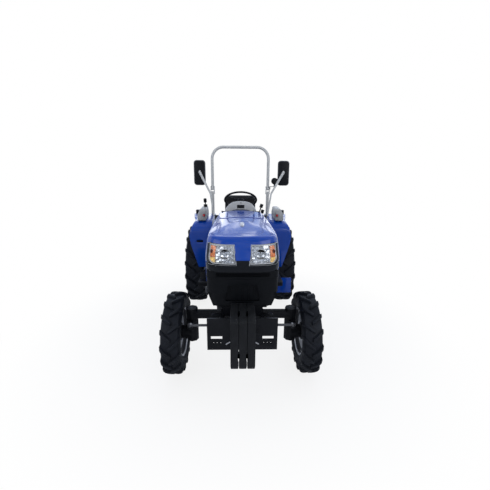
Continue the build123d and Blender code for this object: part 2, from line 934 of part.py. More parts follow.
def pto_shaft():
    """Six-splined stub at the back, on a round journal in the rear case."""
    face = rear_case_rear_y
    journal = rod((0, face - pto_bore_depth + seat_gap, pto_z), (0, face, pto_z), pto_radius)
    outline = []
    for step in range(pto_splines):
        centre = 2 * pi * step / pto_splines
        for radius, share in (
            (pto_root_radius, -1),
            (pto_radius, -1),
            (pto_radius, 1),
            (pto_root_radius, 1),
        ):
            turn = centre + share * asin(pto_spline_width / 2 / radius)
            outline.append((radius * cos(turn), pto_z + radius * sin(turn)))
    return journal + slab_y(outline, (face, face + pto_length))


def lower_link():
    """Left lower link: a flat bar with a ball eye at each end."""
    x = (link_x - link_thickness / 2, link_x + link_thickness / 2)
    tip_y = link_tip_y - link_ball_radius
    drop = arm_drop / arm_reach * (tip_y - link_pivot_y)
    tip_z = link_pivot_z - drop
    half = link_height / 2
    bar = slab_x(
        [
            (link_pivot_y, link_pivot_z - half / 2),
            (tip_y, tip_z - half / 2),
            (tip_y, tip_z + half / 2),
            (link_pivot_y + arm_reach, link_pivot_z - arm_drop + half),
            (link_pivot_y, link_pivot_z + half / 2),
        ],
        x,
    )
    for y, z in ((link_pivot_y, link_pivot_z), (tip_y, tip_z)):
        bar += cast_bar((x[0], y, z), (x[1], y, z), link_ball_radius)
    for y, z in ((link_pivot_y, link_pivot_z), (tip_y, tip_z)):
        bar -= rod((x[0] - overrun, y, z), (x[1] + overrun, y, z), link_hole_radius)
    mid = (link_pivot_y + arm_reach, link_pivot_z - arm_drop)
    pin = rod(
        (x[0] + link_thickness / 2, *mid),
        (arm_x + arm_thickness / 2 + seat_gap, *mid),
        lift_pin_radius,
    )
    return bar + pin


def lower_link_pins():
    """Pins on the rear case that the lower links swing on, each with its boss and collar."""
    inner = rear_case_half_width
    boss_end = link_x - link_thickness / 2 - seat_gap
    collar = link_x + link_thickness / 2 + seat_gap
    place = (link_pivot_y, link_pivot_z)
    pin = rod((inner, *place), (collar + link_pin_radius, *place), link_hole_radius - running_gap)
    pin += cast_bar((inner, *place), (boss_end, *place), link_ball_radius)
    pin += cast_bar((collar, *place), (collar + link_pin_radius / 2, *place), link_collar_radius, 8)
    return both(pin)


def lift_arms():
    """Rock shaft through the lift case with an arm on each end."""
    x = (arm_x - arm_thickness / 2, arm_x + arm_thickness / 2)
    end = (arm_pivot_y + arm_reach, arm_pivot_z - arm_drop)
    half = arm_height / 2
    arm = slab_x(
        [
            (arm_pivot_y - half, arm_pivot_z - half),
            (end[0], end[1] - half / 2),
            (end[0], end[1] + half / 2),
            (arm_pivot_y - half, arm_pivot_z + half),
        ],
        x,
    )
    arm += cast_bar((x[0], *end), (x[1], *end), lift_eye_radius, 8)
    arm += rod((x[1], *end), (x[1] + lift_eye_radius, *end), lift_pin_radius)
    shaft = rod(
        (0, arm_pivot_y, arm_pivot_z),
        (x[0] + arm_thickness / 2, arm_pivot_y, arm_pivot_z),
        shaft_radius,
    )
    half_set = arm + shaft
    return half_set + mirror(half_set, about=Plane.YZ)


def lift_rod():
    """Left lift rod from the arm's pin down to the lower link's pin."""
    near = arm_x + arm_thickness / 2 + seat_gap
    far = link_x - link_thickness / 2 - seat_gap
    x = (near + far) / 2
    top = (arm_pivot_y + arm_reach, arm_pivot_z - arm_drop)
    low = (link_pivot_y + arm_reach, link_pivot_z - arm_drop)
    body = cast_bar((x, *top), (x, *low), lift_rod_radius, 8)
    half = lift_rod_radius - seat_gap
    for end in (top, low):
        body += cast_bar((x - half, *end), (x + half, *end), lift_eye_radius, 8)
    for end in (top, low):
        body -= rod((near - overrun, *end), (far + overrun, *end), lift_pin_radius + running_gap)
    return body


def top_link():
    """Top link: a tube with an eye at each end."""
    start = (0, top_link_y, top_link_z)
    run = top_link_length
    end = (
        0,
        top_link_y + run * cos(radians(top_link_rise_angle)),
        top_link_z + run * sin(radians(top_link_rise_angle)),
    )
    body = cast_bar(start, end, top_link_radius, 8)
    half = clevis_inner - seat_gap
    for place in (start, end):
        body += cast_bar((-half, place[1], place[2]), (half, place[1], place[2]), top_link_eye_radius, 8)
    for place in (start, end):
        low = (-half - overrun, place[1], place[2])
        body -= rod(low, (half + overrun, place[1], place[2]), top_link_pin_radius + running_gap)
    return body


def top_link_bracket():
    """Clevis on the back of the lift case with its pin."""
    y = (rear_case_rear_y, top_link_y + top_link_eye_radius)
    z = (top_link_z - clevis_half_height, top_link_z + clevis_half_height)
    cheek = block((clevis_inner, clevis_inner + clevis_thickness), y, z)
    outer = clevis_inner + clevis_thickness
    pin = rod((-outer, top_link_y, top_link_z), (outer, top_link_y, top_link_z), top_link_pin_radius)
    return cheek + mirror(cheek, about=Plane.YZ) + pin



# Bonnet: a hollow cover made from a side, a plan and a front outline

bonnet_nose_run = -467.0
bonnet_nose_y = front_axle_y + bonnet_nose_run
bonnet_rear_run = -700.0
bonnet_rear_y = rear_axle_y + bonnet_rear_run
bonnet_half_width = 285.0
bonnet_rear_half_width = 262.0
bonnet_waist_drop = 169.0
bonnet_crease_drop = 28.0
bonnet_rear_drop = 12.0
bonnet_side_height = 403.0
bonnet_crown_rise = 853.0
bonnet_crown_z = rear_tyre_radius + bonnet_crown_rise
bonnet_waist_z = bonnet_crown_z - bonnet_waist_drop
bonnet_crease_z = bonnet_crown_z - bonnet_crease_drop
bonnet_rear_z = bonnet_crown_z - bonnet_rear_drop
bonnet_skirt_z = bonnet_crown_z - bonnet_side_height
bonnet_shoulder_half_width = 256.0
bonnet_wall = 5.0
nose_half_width = 150.0
nose_sweep = 150.0
nose_taper_run = 320.0
nose_taper_y = front_axle_y + nose_taper_run
crease_setback = 52.0
lamp_top_drop = 78.0
lamp_top_z = bonnet_crown_z - lamp_top_drop
lamp_bottom_drop = 228.0
lamp_bottom_z = bonnet_crown_z - lamp_bottom_drop
lamp_inner_top_x = 62.0
lamp_inner_bottom_x = 45.0
lamp_outer_x = 268.0
wedge_lift = 37.0
wedge_bottom_z = lamp_bottom_z + wedge_lift
chin_height = 53.0
chin_bottom_z = lamp_bottom_z - chin_height
hinge_setback = 18.0
hinge_y = bonnet_rear_y + hinge_setback
hinge_drop = 22.0
hinge_z = bonnet_rear_z - hinge_drop
hinge_radius = 9.0
hinge_eye_radius = 13.5
hinge_pad_drop = 4.0
hinge_bracket_drop = 54.0
hinge_bracket_lip = 12.6
hinge_half_length = 30.0
hinge_x = 180.0
crown_step_setback = 30.0
crown_step_length = 240.0
crown_step_half_width = 185.0
crown_step_width = 12.0
crown_step_height = 2.5
dash_front_run = -662.0
dash_front_y = rear_axle_y + dash_front_run


def bonnet_form(inset, bottom):
    """Solid outer form of the bonnet, drawn in by an inset."""
    side = [
        (bonnet_nose_y + inset, bottom),
        (bonnet_nose_y + inset, lamp_bottom_z),
        (bonnet_nose_y + inset + crease_setback / 4, lamp_top_z),
        (bonnet_nose_y + inset + crease_setback, bonnet_crease_z - inset),
        ((bonnet_nose_y + bonnet_rear_y) / 2, bonnet_crown_z - inset),
        (bonnet_rear_y + inset, bonnet_rear_z - inset),
        (bonnet_rear_y + inset, bottom),
    ]
    w = bonnet_half_width - inset
    front = [
        (w, bottom),
        (w, bonnet_waist_z),
        (bonnet_shoulder_half_width - inset, bonnet_crease_z - inset),
        (bonnet_shoulder_half_width / 2, bonnet_crown_z - inset),
        (-bonnet_shoulder_half_width / 2, bonnet_crown_z - inset),
        (-bonnet_shoulder_half_width + inset, bonnet_crease_z - inset),
        (-w, bonnet_waist_z),
        (-w, bottom),
    ]
    rear = bonnet_rear_half_width - inset
    plan = [
        (nose_half_width, bonnet_nose_y + inset),
        (bonnet_half_width - inset - nose_sweep / 4, bonnet_nose_y + inset + nose_sweep / 3),
        (w, bonnet_nose_y + nose_sweep),
        (w, nose_taper_y),
        (rear, bonnet_rear_y + inset),
        (-rear, bonnet_rear_y + inset),
        (-w, nose_taper_y),
        (-w, bonnet_nose_y + nose_sweep),
        (-bonnet_half_width + inset + nose_sweep / 4, bonnet_nose_y + inset + nose_sweep / 3),
        (-nose_half_width, bonnet_nose_y + inset),
    ]
    wide = (-bonnet_half_width - overrun, bonnet_half_width + overrun)
    long = (bonnet_nose_y - overrun, bonnet_rear_y + inset + overrun)
    tall = (bottom - overrun, bonnet_crown_z + overrun)
    return slab_x(side, wide) & slab_y(front, long) & slab_z(plan, tall)


def crown_step():
    """Plan of the raised line across the back of the bonnet, as a band of one width."""
    front = nose_taper_y + crown_step_setback
    back = front + crown_step_length
    near = crown_step_half_width
    far = bonnet_shoulder_half_width
    w = crown_step_width
    outer = [(-far, back), (-near, front), (near, front), (far, back)]
    inner = [(far - w, back + w), (near - w, front + w), (-near + w, front + w), (-far + w, back + w)]
    return outer + inner


def lamp_window(side, gap):
    """Front outline of the opening in the bonnet for one lamp and its frame, drawn in by a gap."""
    return [
        (side * (lamp_inner_bottom_x + gap), lamp_bottom_z),
        (side * (lamp_inner_top_x + gap), lamp_top_z - gap),
        (side * (bonnet_half_width + overrun), lamp_top_z - gap),
        (side * (bonnet_half_width + overrun), lamp_bottom_z),
    ]


def bonnet():
    """Bonnet shell, open below and behind, with its hinge eyes."""
    shell = bonnet_form(0, bonnet_skirt_z) - bonnet_form(bonnet_wall, bonnet_skirt_z - overrun)
    nose = (bonnet_nose_y - overrun, bonnet_nose_y + nose_sweep)
    wide = (-bonnet_half_width - overrun, bonnet_half_width + overrun)
    shell -= block(wide, nose, (bonnet_skirt_z - overrun, lamp_bottom_z))
    for side in (-1, 1):
        shell -= slab_y(lamp_window(side, 0), (nose[0], bonnet_nose_y + nose_sweep))
    shell -= block((-lamp_inner_top_x, lamp_inner_top_x), nose, (bonnet_skirt_z, wedge_bottom_z))
    tall = (bonnet_waist_z, bonnet_crown_z + overrun)
    band = slab_z(crown_step(), tall)
    shell += band & (
        bonnet_form(-crown_step_height, bonnet_skirt_z) - bonnet_form(bonnet_wall / 2, bonnet_skirt_z)
    )
    for side in (-1, 1):
        x = (side * hinge_x - hinge_half_length, side * hinge_x + hinge_half_length)
        under = (bonnet_rear_y - hinge_half_length, bonnet_rear_y - bonnet_wall)
        shell += block(x, under, (hinge_z - hinge_radius, bonnet_rear_z - hinge_pad_drop))
        shell += block(x, (under[0], hinge_y), (hinge_z - hinge_radius, hinge_z + hinge_radius))
        shell += cast_bar((x[0], hinge_y, hinge_z), (x[1], hinge_y, hinge_z), hinge_eye_radius)
        shell -= rod(
            (x[0] - overrun, hinge_y, hinge_z),
            (x[1] + overrun, hinge_y, hinge_z),
            hinge_radius + running_gap,
        )
    return shell


def nose_strip(inset, depth, outline):
    """A wall that follows the plan curve of the nose, seen from the front as an outline of (x, z)."""
    reach = bonnet_nose_y + nose_sweep

    def plan(step):
        return [
            (nose_half_width, bonnet_nose_y + step),
            (bonnet_half_width - step - nose_sweep / 4, bonnet_nose_y + step + nose_sweep / 3),
            (bonnet_half_width - step, reach),
            (bonnet_half_width - step, reach + overrun),
            (-bonnet_half_width + step, reach + overrun),
            (-bonnet_half_width + step, reach),
            (-bonnet_half_width + step + nose_sweep / 4, bonnet_nose_y + step + nose_sweep / 3),
            (-nose_half_width, bonnet_nose_y + step),
        ]

    tall = (radiator_bottom, bonnet_crown_z)
    wall = slab_z(plan(inset), tall) - slab_z([(x, y + depth) for x, y in plan(inset + depth / 4)], tall)
    return wall & slab_y(outline, (bonnet_nose_y - overrun, reach))


lamp_frame_lip = 12.0
lamp_corner_cut = 36.0
lamp_frame_depth = 34.0
lamp_depth = 26.0
indicator_x = 206.0


def lamp_outline(side, inset):
    """Front outline of one headlamp, smaller all round by an inset."""
    return [
        (side * (lamp_inner_bottom_x + inset), lamp_bottom_z + inset),
        (side * (lamp_inner_top_x + inset), lamp_top_z - inset),
        (side * (lamp_outer_x - inset), lamp_top_z - inset),
        (side * (lamp_outer_x - inset), lamp_bottom_z + lamp_corner_cut),
        (side * (lamp_outer_x - lamp_corner_cut), lamp_bottom_z + inset),
    ]


def lamp_frames():
    """Dark frames round the headlamps, and the chin below them."""
    pieces = []
    for side in (-1, 1):
        frame = nose_strip(0, lamp_frame_depth, lamp_window(side, seat_gap))
        cut = slab_y(
            lamp_outline(side, lamp_frame_lip),
            (bonnet_nose_y - overrun, bonnet_nose_y + nose_sweep + overrun),
        )
        pieces.append(frame - cut)
    width = bonnet_half_width + overrun
    chin = [
        (-width, chin_bottom_z),
        (-width, lamp_bottom_z),
        (-lamp_inner_bottom_x - seat_gap, lamp_bottom_z),
        (-lamp_inner_bottom_x - seat_gap, wedge_bottom_z - seat_gap),
        (lamp_inner_bottom_x + seat_gap, wedge_bottom_z - seat_gap),
        (lamp_inner_bottom_x + seat_gap, lamp_bottom_z),
        (width, lamp_bottom_z),
        (width, chin_bottom_z),
    ]
    body = nose_strip(0, lamp_frame_depth, chin)
    for piece in pieces:
        body += piece
    return body


def lamp_units(inner, outer):
    """The stretch of both lamp units between two distances from the middle."""
    units = []
    for side in (-1, 1):
        outline = lamp_outline(side, lamp_frame_lip + seat_gap)
        unit = nose_strip(lamp_frame_lip / 2, lamp_depth, outline)
        x = (min(side * inner, side * outer), max(side * inner, side * outer))
        reach = (bonnet_nose_y - overrun, bonnet_nose_y + nose_sweep + overrun)
        units.append(unit & block(x, reach, (lamp_bottom_z, lamp_top_z)))
    return units


def headlamps():
    """Main lamps with their reflectors, seated in the frames."""
    return lamp_units(0, indicator_x)


def indicators():
    """Amber direction lamps at the outer ends of the headlamps."""
    return lamp_units(indicator_x + seat_gap, bonnet_half_width)


# Fixed lower nose with the grille, and the side screens

chin_gap = 1.2
grille_top_z = chin_bottom_z - chin_gap
grille_lift = 94.0
grille_bottom_z = rail_top + grille_lift
grille_corner_share = 0.428
grille_corner_z = grille_bottom_z + grille_corner_share * (grille_top_z - grille_bottom_z)
grille_bottom_half_width = 225.0
grille_half_width = 270.0
grille_setback = 20.0
grille_depth = 58.0
grille_wall = 8.0
recess_border = 16.0
recess_top_z = grille_top_z - recess_border
recess_lift = 66.0
recess_bottom_z = grille_bottom_z + recess_lift
recess_half_width = 200.0
recess_depth = 26.0
louvre_count = 4
hollow_bottom_half_width = 128.0
hollow_top_half_width = 104.0
louvre_thickness = 6.0
screen_thickness = 4.0
screen_rear_run = 490.0
screen_rear_y = front_axle_y + screen_rear_run
screen_bottom_z = rail_top + screen_thickness + seat_gap
screen_foot_length = 60.0


def grille():
    """Lower nose: a tray with tapering lower corners, a recess and louvres across it."""
    front = bonnet_nose_y + grille_setback
    outline = [
        (grille_half_width, grille_top_z),
        (grille_half_width, grille_corner_z),
        (grille_bottom_half_width, grille_bottom_z),
        (-grille_bottom_half_width, grille_bottom_z),
        (-grille_half_width, grille_corner_z),
        (-grille_half_width, grille_top_z),
    ]
    w = grille_half_width - grille_wall
    inner = [
        (w, grille_top_z - grille_wall),
        (w, grille_corner_z),
        (grille_bottom_half_width - grille_wall, grille_bottom_z + grille_wall),
        (-grille_bottom_half_width + grille_wall, grille_bottom_z + grille_wall),
        (-w, grille_corner_z),
        (-w, grille_top_z - grille_wall),
    ]
    depth = (front, front + grille_depth)
    tray = slab_y(outline, depth) - slab_y(inner, (front + recess_depth + grille_wall, depth[1] + overrun))
    width = grille_half_width + overrun
    sweep = nose_sweep / 3
    plan = [
        (nose_half_width, front),
        (grille_half_width, front + sweep),
        (width, front + sweep),
        (width, depth[1] + overrun),
        (-width, depth[1] + overrun),
        (-width, front + sweep),
        (-grille_half_width, front + sweep),
        (-nose_half_width, front),
    ]
    tray &= slab_z(plan, (grille_bottom_z - overrun, grille_top_z + overrun))
    recess_y = (front - overrun, front + recess_depth)
    middle = (recess_bottom_z + recess_top_z) / 2
    band = [
        (-recess_half_width, middle + louvre_thickness),
        (recess_half_width, middle + louvre_thickness),
        (recess_half_width, recess_top_z),
        (-recess_half_width, recess_top_z),
    ]
    hollow = [
        (-hollow_bottom_half_width, recess_bottom_z),
        (hollow_bottom_half_width, recess_bottom_z),
        (hollow_top_half_width, middle - louvre_thickness),
        (-hollow_top_half_width, middle - louvre_thickness),
    ]
    tray -= slab_y(band, recess_y) + slab_y(hollow, recess_y)
    pitch = (recess_top_z - middle) / louvre_count
    for step in range(1, louvre_count):
        z = middle + step * pitch
        span = (-recess_half_width, recess_half_width)
        tray += block(span, (front + recess_depth / 2, front + recess_depth), (z, z + louvre_thickness))
    return tray


def side_screens():
    """Perforated lower side panels between the nose and the dash, fixed to the rails."""
    x = (
        grille_half_width - grille_wall - seat_gap - screen_thickness,
        grille_half_width - grille_wall - seat_gap,
    )
    front = bonnet_nose_y + grille_setback + grille_depth
    z = (screen_bottom_z, bonnet_skirt_z - free_gap)
    panel = block(x, (front, screen_rear_y), z)
    foot_z = (screen_bottom_z - screen_thickness, screen_bottom_z)
    for y in ((front, front + screen_foot_length), (rail_rear_y - screen_foot_length, rail_rear_y)):
        panel += block((battery_half_width + seat_gap, x[1]), y, foot_z)
    return both(panel)


# Dash, steering column and wheel

dash_half_width = 205.0
dash_brow_half_width = 112.75
dash_round = 86.1
dash_rear_drop = 28.0
dash_front_slope = 14.0
dash_tower_half_width = 143.5
dash_top_rise = 968.0
dash_top_z = rear_tyre_radius + dash_top_rise
dash_depth = 144.0
dash_rear_y = dash_front_y + dash_depth
dash_bottom_lift = 70.0
dash_bottom_z = gearbox_top + dash_bottom_lift
dash_shoulder_drop = 103.0
dash_shoulder_z = dash_top_z - dash_shoulder_drop
firewall_half_width = 300.0
firewall_thickness = 12.0
firewall_head_drop = 38.0
firewall_top_z = hinge_z - firewall_head_drop
steering_tilt = 35.0
steering_centre_run = -473.0
steering_centre_y = rear_axle_y + steering_centre_run
steering_centre_rise = 932.0
steering_centre_z = rear_tyre_radius + steering_centre_rise
steering_radius = 200.0
steering_rim_radius = 14.0
steering_facets = 24
steering_hub_radius = 34.0
steering_hub_height = 34.0
steering_spoke_width = 26.0
steering_spoke_thickness = 10.0
steering_spokes = 3
steering_boss_drop = 20.0
column_radius = 26.0
column_length = 210.0
column_shaft_radius = 11.0
column_shaft_depth = 50.0


def dash():
    """Instrument cowl: a rounded hood over a narrower tower that stands on the gearbox."""
    front = [
        (dash_half_width, dash_shoulder_z - dash_half_width),
        (dash_half_width, dash_shoulder_z),
        (dash_brow_half_width, dash_top_z),
        (-dash_brow_half_width, dash_top_z),
        (-dash_half_width, dash_shoulder_z),
        (-dash_half_width, dash_shoulder_z - dash_half_width),
    ]
    hood = soft_slab_y(
        front,
        [0, dash_round, dash_round, dash_round, dash_round, 0],
        (dash_front_y, dash_rear_y),
    )
    slope = [
        (dash_front_y, dash_shoulder_z - dash_half_width),
        (dash_front_y, dash_shoulder_z),
        (dash_front_y + dash_front_slope, dash_top_z),
        ((dash_front_y + dash_rear_y) / 2, dash_top_z),
        (dash_rear_y, dash_shoulder_z - dash_rear_drop),
        (dash_rear_y, dash_shoulder_z - dash_half_width),
    ]
    hood &= slab_x(slope, (-dash_half_width - overrun, dash_half_width + overrun))
    tower_half = dash_tower_half_width
    tower = block(
        (-tower_half, tower_half),
        (dash_front_y, dash_rear_y),
        (gearbox_top, dash_shoulder_z - dash_half_width),
    )
    body = hood + tower
    top = -steering_boss_drop - seat_gap
    return body - rod(
        on_column(top - column_length - seat_gap),
        on_column(top + overrun),
        column_radius + seat_gap,
    )


def firewall():
    """Upright panel behind the engine with the hinge brackets of the bonnet."""
    y = (dash_front_y - firewall_thickness, dash_front_y)
    panel = block((-firewall_half_width, firewall_half_width), y, (dash_bottom_z, firewall_top_z))
    for side in (-1, 1):
        outer = side * hinge_x + hinge_half_length + seat_gap
        inner = side * hinge_x - hinge_half_length - seat_gap
        for x in ((outer, outer + hinge_radius), (inner - hinge_radius, inner)):
            z = (hinge_z - hinge_bracket_drop, hinge_z + hinge_bracket_lip)
            panel += block(x, (hinge_y - hinge_bracket_lip, dash_front_y), z)
        ends = (inner - hinge_radius, outer + hinge_radius)
        panel += rod((ends[0], hinge_y, hinge_z), (ends[1], hinge_y, hinge_z), hinge_radius)
    return panel


def on_column(along):
    """Point on the steering axis, along it from the wheel's centre."""
    tilt = radians(steering_tilt)
    return (0, steering_centre_y + along * sin(tilt), steering_centre_z + along * cos(tilt))


def steering_column():
    """Column tube from the dash up to the wheel's boss."""
    top = -steering_boss_drop - seat_gap
    tube = cast_bar(on_column(top - column_length), on_column(top), column_radius)
    bore = rod(
        on_column(top - column_shaft_depth),
        on_column(top + overrun),
        column_shaft_radius + running_gap,
    )
    return tube - bore


def steering_wheel():
    """Three-spoke wheel with its boss and the shaft that turns in the column."""
    seat = Plane(
        origin=on_column(0),
        x_dir=Axis.X.direction,
        z_dir=Vector(on_column(1)) - Vector(on_column(0)),
    )
    r = steering_rim_radius
    turns = [2 * pi * (step + 1 / 2) / 6 for step in range(6)]
    section = [(r * cos(turn), steering_radius - r + r * sin(turn)) for turn in turns]
    wheel = Rot(0, 90, 0) * flat_ring(section, steering_facets)
    low = Pos(0, 0, -steering_boss_drop)
    align = (Align.CENTER, Align.CENTER, Align.MIN)
    wheel += extrude(low * RegularPolygon(steering_hub_radius, 12), steering_hub_height)
    for step in range(steering_spokes):
        reach = steering_radius - r
        bar = Pos(reach / 2, 0, 0) * Box(reach, steering_spoke_width, steering_spoke_thickness)
        wheel += Rot(0, 0, 90 + 360 / steering_spokes * step) * bar
    depth = column_shaft_depth - seat_gap
    stem = Pos(0, 0, -steering_boss_drop - depth) * Cylinder(column_shaft_radius, depth + r, align=align)
    return seat * (wheel + stem)


# Seat

seat_half_width = 215.0
seat_front_run = -400.0
seat_front_y = rear_axle_y + seat_front_run
seat_rear_run = -10.0
seat_rear_y = rear_axle_y + seat_rear_run
seat_cushion_bottom_rise = 475.0
seat_cushion_bottom = rear_tyre_radius + seat_cushion_bottom_rise
seat_cushion_height = 90.0
seat_cushion_top = seat_cushion_bottom + seat_cushion_height
seat_back_height = 488.0
seat_back_top = seat_cushion_bottom + seat_back_height
seat_back_thickness = 90.0
seat_back_top_thickness = 54.0
seat_shoulder_drop = 96.75
seat_shoulder_round = 64.5
seat_back_lean = 40.0
seat_pedestal_half_width = 90.0
seat_pan_thickness = 20.0
seat_pan_half_width = 193.5
seat_round = 36.0


def seat_cushion():
    """Seat cushion block with rounded front."""
    outline = [
        (seat_front_y, seat_cushion_bottom),
        (seat_rear_y - seat_back_thickness, seat_cushion_bottom),
        (seat_rear_y - seat_back_thickness, seat_cushion_top),
        (seat_front_y, seat_cushion_top),
    ]
    return soft_slab_x(outline, [seat_round / 2, 0, 0, seat_round], (-seat_half_width, seat_half_width))


def seat_back():
    """Leaning backrest with a domed top."""
    side = [
        (seat_rear_y - seat_back_thickness + seat_gap, seat_cushion_bottom),
        (seat_rear_y, seat_cushion_bottom),
        (seat_rear_y + seat_back_lean, seat_back_top),
        (seat_rear_y + seat_back_lean - seat_back_top_thickness, seat_back_top),
    ]
    wide = (-seat_half_width - overrun, seat_half_width + overrun)
    body = soft_slab_x(side, [0, 0, seat_round / 2, seat_round / 2], wide)
    w = seat_half_width
    face = [
        (-w, seat_cushion_bottom - overrun),
        (-w, seat_back_top - seat_shoulder_drop),
        (-w / 2, seat_back_top),
        (w / 2, seat_back_top),
        (w, seat_back_top - seat_shoulder_drop),
        (w, seat_cushion_bottom - overrun),
    ]
    dome = soft_slab_y(
        face,
        [0, seat_shoulder_round, seat_shoulder_round, seat_shoulder_round, seat_shoulder_round, 0],
        (seat_front_y, seat_rear_y + seat_back_lean + overrun),
    )
    return body & dome


def seat_base():
    """Pan and pedestal that carry the cushion over the gearbox."""
    pan = block(
        (-seat_pan_half_width, seat_pan_half_width),
        (seat_front_y + seat_round, seat_rear_y),
        (seat_cushion_bottom - seat_pan_thickness, seat_cushion_bottom),
    )
    post = block(
        (-seat_pedestal_half_width, seat_pedestal_half_width),
        (seat_front_y + 2 * seat_round, rear_case_front_y - free_gap),
        (gearbox_top, seat_cushion_bottom - seat_pan_thickness),
    )
    return pan + post


# Levers and pedals

lever_radius = 7.0
knob_radius = 20.0
knob_height = 44.0
lever_boot_radius = 24.0
lever_boot_height = 30.0
gear_lever_foot_x = 40.0
gear_lever_foot_run = -480.0
gear_lever_foot_y = rear_axle_y + gear_lever_foot_run
gear_knob_x = 244.0
gear_knob_run = -495.0
gear_knob_y = rear_axle_y + gear_knob_run
gear_knob_rise = 847.0
gear_knob_z = rear_tyre_radius + gear_knob_rise
range_lever_foot_x = 92.0
range_lever_foot_run = -420.0
range_lever_foot_y = rear_axle_y + range_lever_foot_run
range_knob_x = 262.0
range_knob_run = -435.0
range_knob_y = rear_axle_y + range_knob_run
range_knob_rise = 771.0
range_knob_z = rear_tyre_radius + range_knob_rise
lift_lever_foot_run = -260.0
lift_lever_foot_y = rear_axle_y + lift_lever_foot_run
lift_knob_lean = 24.0
lift_knob_rise = 62.0
pedal_width = 62.0
pedal_gap = 5.0
pedal_inner_x = 390.0
pedal_top_rise = 159.0
pedal_top_z = rear_tyre_radius + pedal_top_rise
pedal_pad_rise = 66.0
pedal_pad_run = 58.0
pedal_thickness = 11.0


def lever(x, y, z, knob):
    """Lever that comes out of a boot standing at a place, with a knob on top."""
    boot = cast_bar((x, y, z), (x, y, z + lever_boot_height), lever_boot_radius, 10)
    root = (x, y, z + lever_boot_height / 2)
    along = (Vector(knob) - Vector(root)).normalized()
    top = Vector(knob) + along * knob_height
    return boot + cast_bar(root, knob, lever_radius, 8) + cast_bar(knob, tuple(top), knob_radius, 10)


def levers():
    """Gear and range levers on the gearbox, and the lift lever on the right console."""
    floor = gearbox_top + seat_gap
    gear = lever(gear_lever_foot_x, gear_lever_foot_y, floor, (gear_knob_x, gear_knob_y, gear_knob_z))
    spread = lever(
        range_lever_foot_x,
        range_lever_foot_y,
        floor,
        (range_knob_x, range_knob_y, range_knob_z),
    )
    lift_foot_x = -console_inner_x - lever_boot_radius
    lift_knob = (lift_foot_x, lift_lever_foot_y - lift_knob_lean, console_top_z + lift_knob_rise)
    return [gear, spread, lever(lift_foot_x, lift_lever_foot_y, console_top_z + seat_gap, lift_knob)]


def pedal(x):
    """Foot pedal: a sloping pad on an arm that rises from the floor."""
    pad = [
        (pedal_top_y, pedal_top_z),
        (pedal_top_y - pedal_pad_run, pedal_top_z - pedal_pad_rise),
        (pedal_top_y - pedal_pad_run + pedal_thickness, pedal_top_z - pedal_pad_rise - pedal_thickness / 2),
        (pedal_top_y + pedal_thickness, pedal_top_z - pedal_thickness / 2),
    ]
    middle = (pedal_top_y - pedal_pad_run / 2, pedal_top_z - pedal_pad_rise / 2)
    arm = [
        middle,
        (middle[0], middle[1] - pedal_thickness),
        (pedal_foot_y, floor_z + seat_gap),
        (pedal_foot_y + pedal_thickness, floor_z + seat_gap),
    ]
    third = (x[1] - x[0]) / 3
    return slab_x(pad, x) + slab_x(arm, (x[0] + third, x[1] - third))


def pedals():
    """Two brake pedals on the right and the clutch pedal on the left."""
    first = (-pedal_inner_x, -pedal_inner_x + pedal_width)
    second = (-pedal_inner_x - pedal_gap - pedal_width, -pedal_inner_x - pedal_gap)
    clutch = (pedal_inner_x - pedal_width, pedal_inner_x)
    return [pedal(first), pedal(second), pedal(clutch)]


# Fenders, footboards, step and consoles

fender_inner_x = 345.0
fender_outer_x = 640.0
fender_wall = 5.0
handle_outer_x = 539.0
handle_width = 83.0
handle_height = 26.0
fender_top_rise = 683.0
fender_top_z = rear_tyre_radius + fender_top_rise
fender_front_run = -554.0
fender_front_y = rear_axle_y + fender_front_run
fender_front_top_run = -518.0
fender_front_top_y = rear_axle_y + fender_front_top_run
floor_rise = 79.0
floor_z = rear_tyre_radius + floor_rise
fender_toe_lift = 36.0
fender_toe_z = floor_z + fender_toe_lift
fender_rear_run = 490.0
fender_rear_y = rear_axle_y + fender_rear_run
fender_tail_drop = 278.0
handle_drop = 256.0
handle_bottom_z = fender_top_z - handle_drop
fender_rear_z = fender_top_z - fender_tail_drop
fender_round = 140.0
fender_flat_rear_run = 180.0
fender_flat_rear_y = rear_axle_y + fender_flat_rear_run
fender_lip = 20.0
fender_slant_depth = 36.0
fender_web_inset = 25.0
fender_toe_outer_x = 510.0
fender_foot_width = 46.0
fender_foot_height = 22.0
floor_thickness = 6.0
floor_skirt = 48.0
floor_front_gap = 40.0
floor_front_y = bell_rear_y + floor_front_gap
floor_length = fender_front_y - floor_front_y
pedal_foot_share = 0.52885
pedal_foot_y = floor_front_y + pedal_foot_share * floor_length
pedal_top_reach = 116.0
pedal_top_y = pedal_foot_y - pedal_top_reach
step_front_share = 0.36058
step_front_y = floor_front_y + step_front_share * floor_length
step_rear_share = 0.86538
step_rear_y = floor_front_y + step_rear_share * floor_length
floor_outer_x = 470.0
step_inner_x = 410.0
step_outer_x = 590.0
step_drop = 192.0
step_bottom_z = floor_z - step_drop
step_wall = 6.0
console_inner_x = 420.0
console_outer_x = 524.0
console_front_run = -480.0
console_front_y = rear_axle_y + console_front_run
console_rear_run = -80.0
console_rear_y = rear_axle_y + console_rear_run
console_height = 144.0
console_slope = 90.0
console_top_z = fender_top_z + console_height
rops_run = 47.0
rops_y = rear_axle_y + rops_run
rops_outer_x = 393.0
rops_tube_radius = 19.0


def fender_path(inset):
    """Side outline of the fender's sheet, from the toe over the wheel to the tail, at an inset."""
    return [
        (fender_front_y + inset, fender_toe_z),
        (fender_front_top_y + inset, fender_top_z - inset),
        (fender_flat_rear_y, fender_top_z - inset),
        (fender_rear_y - inset, fender_rear_z),
    ]


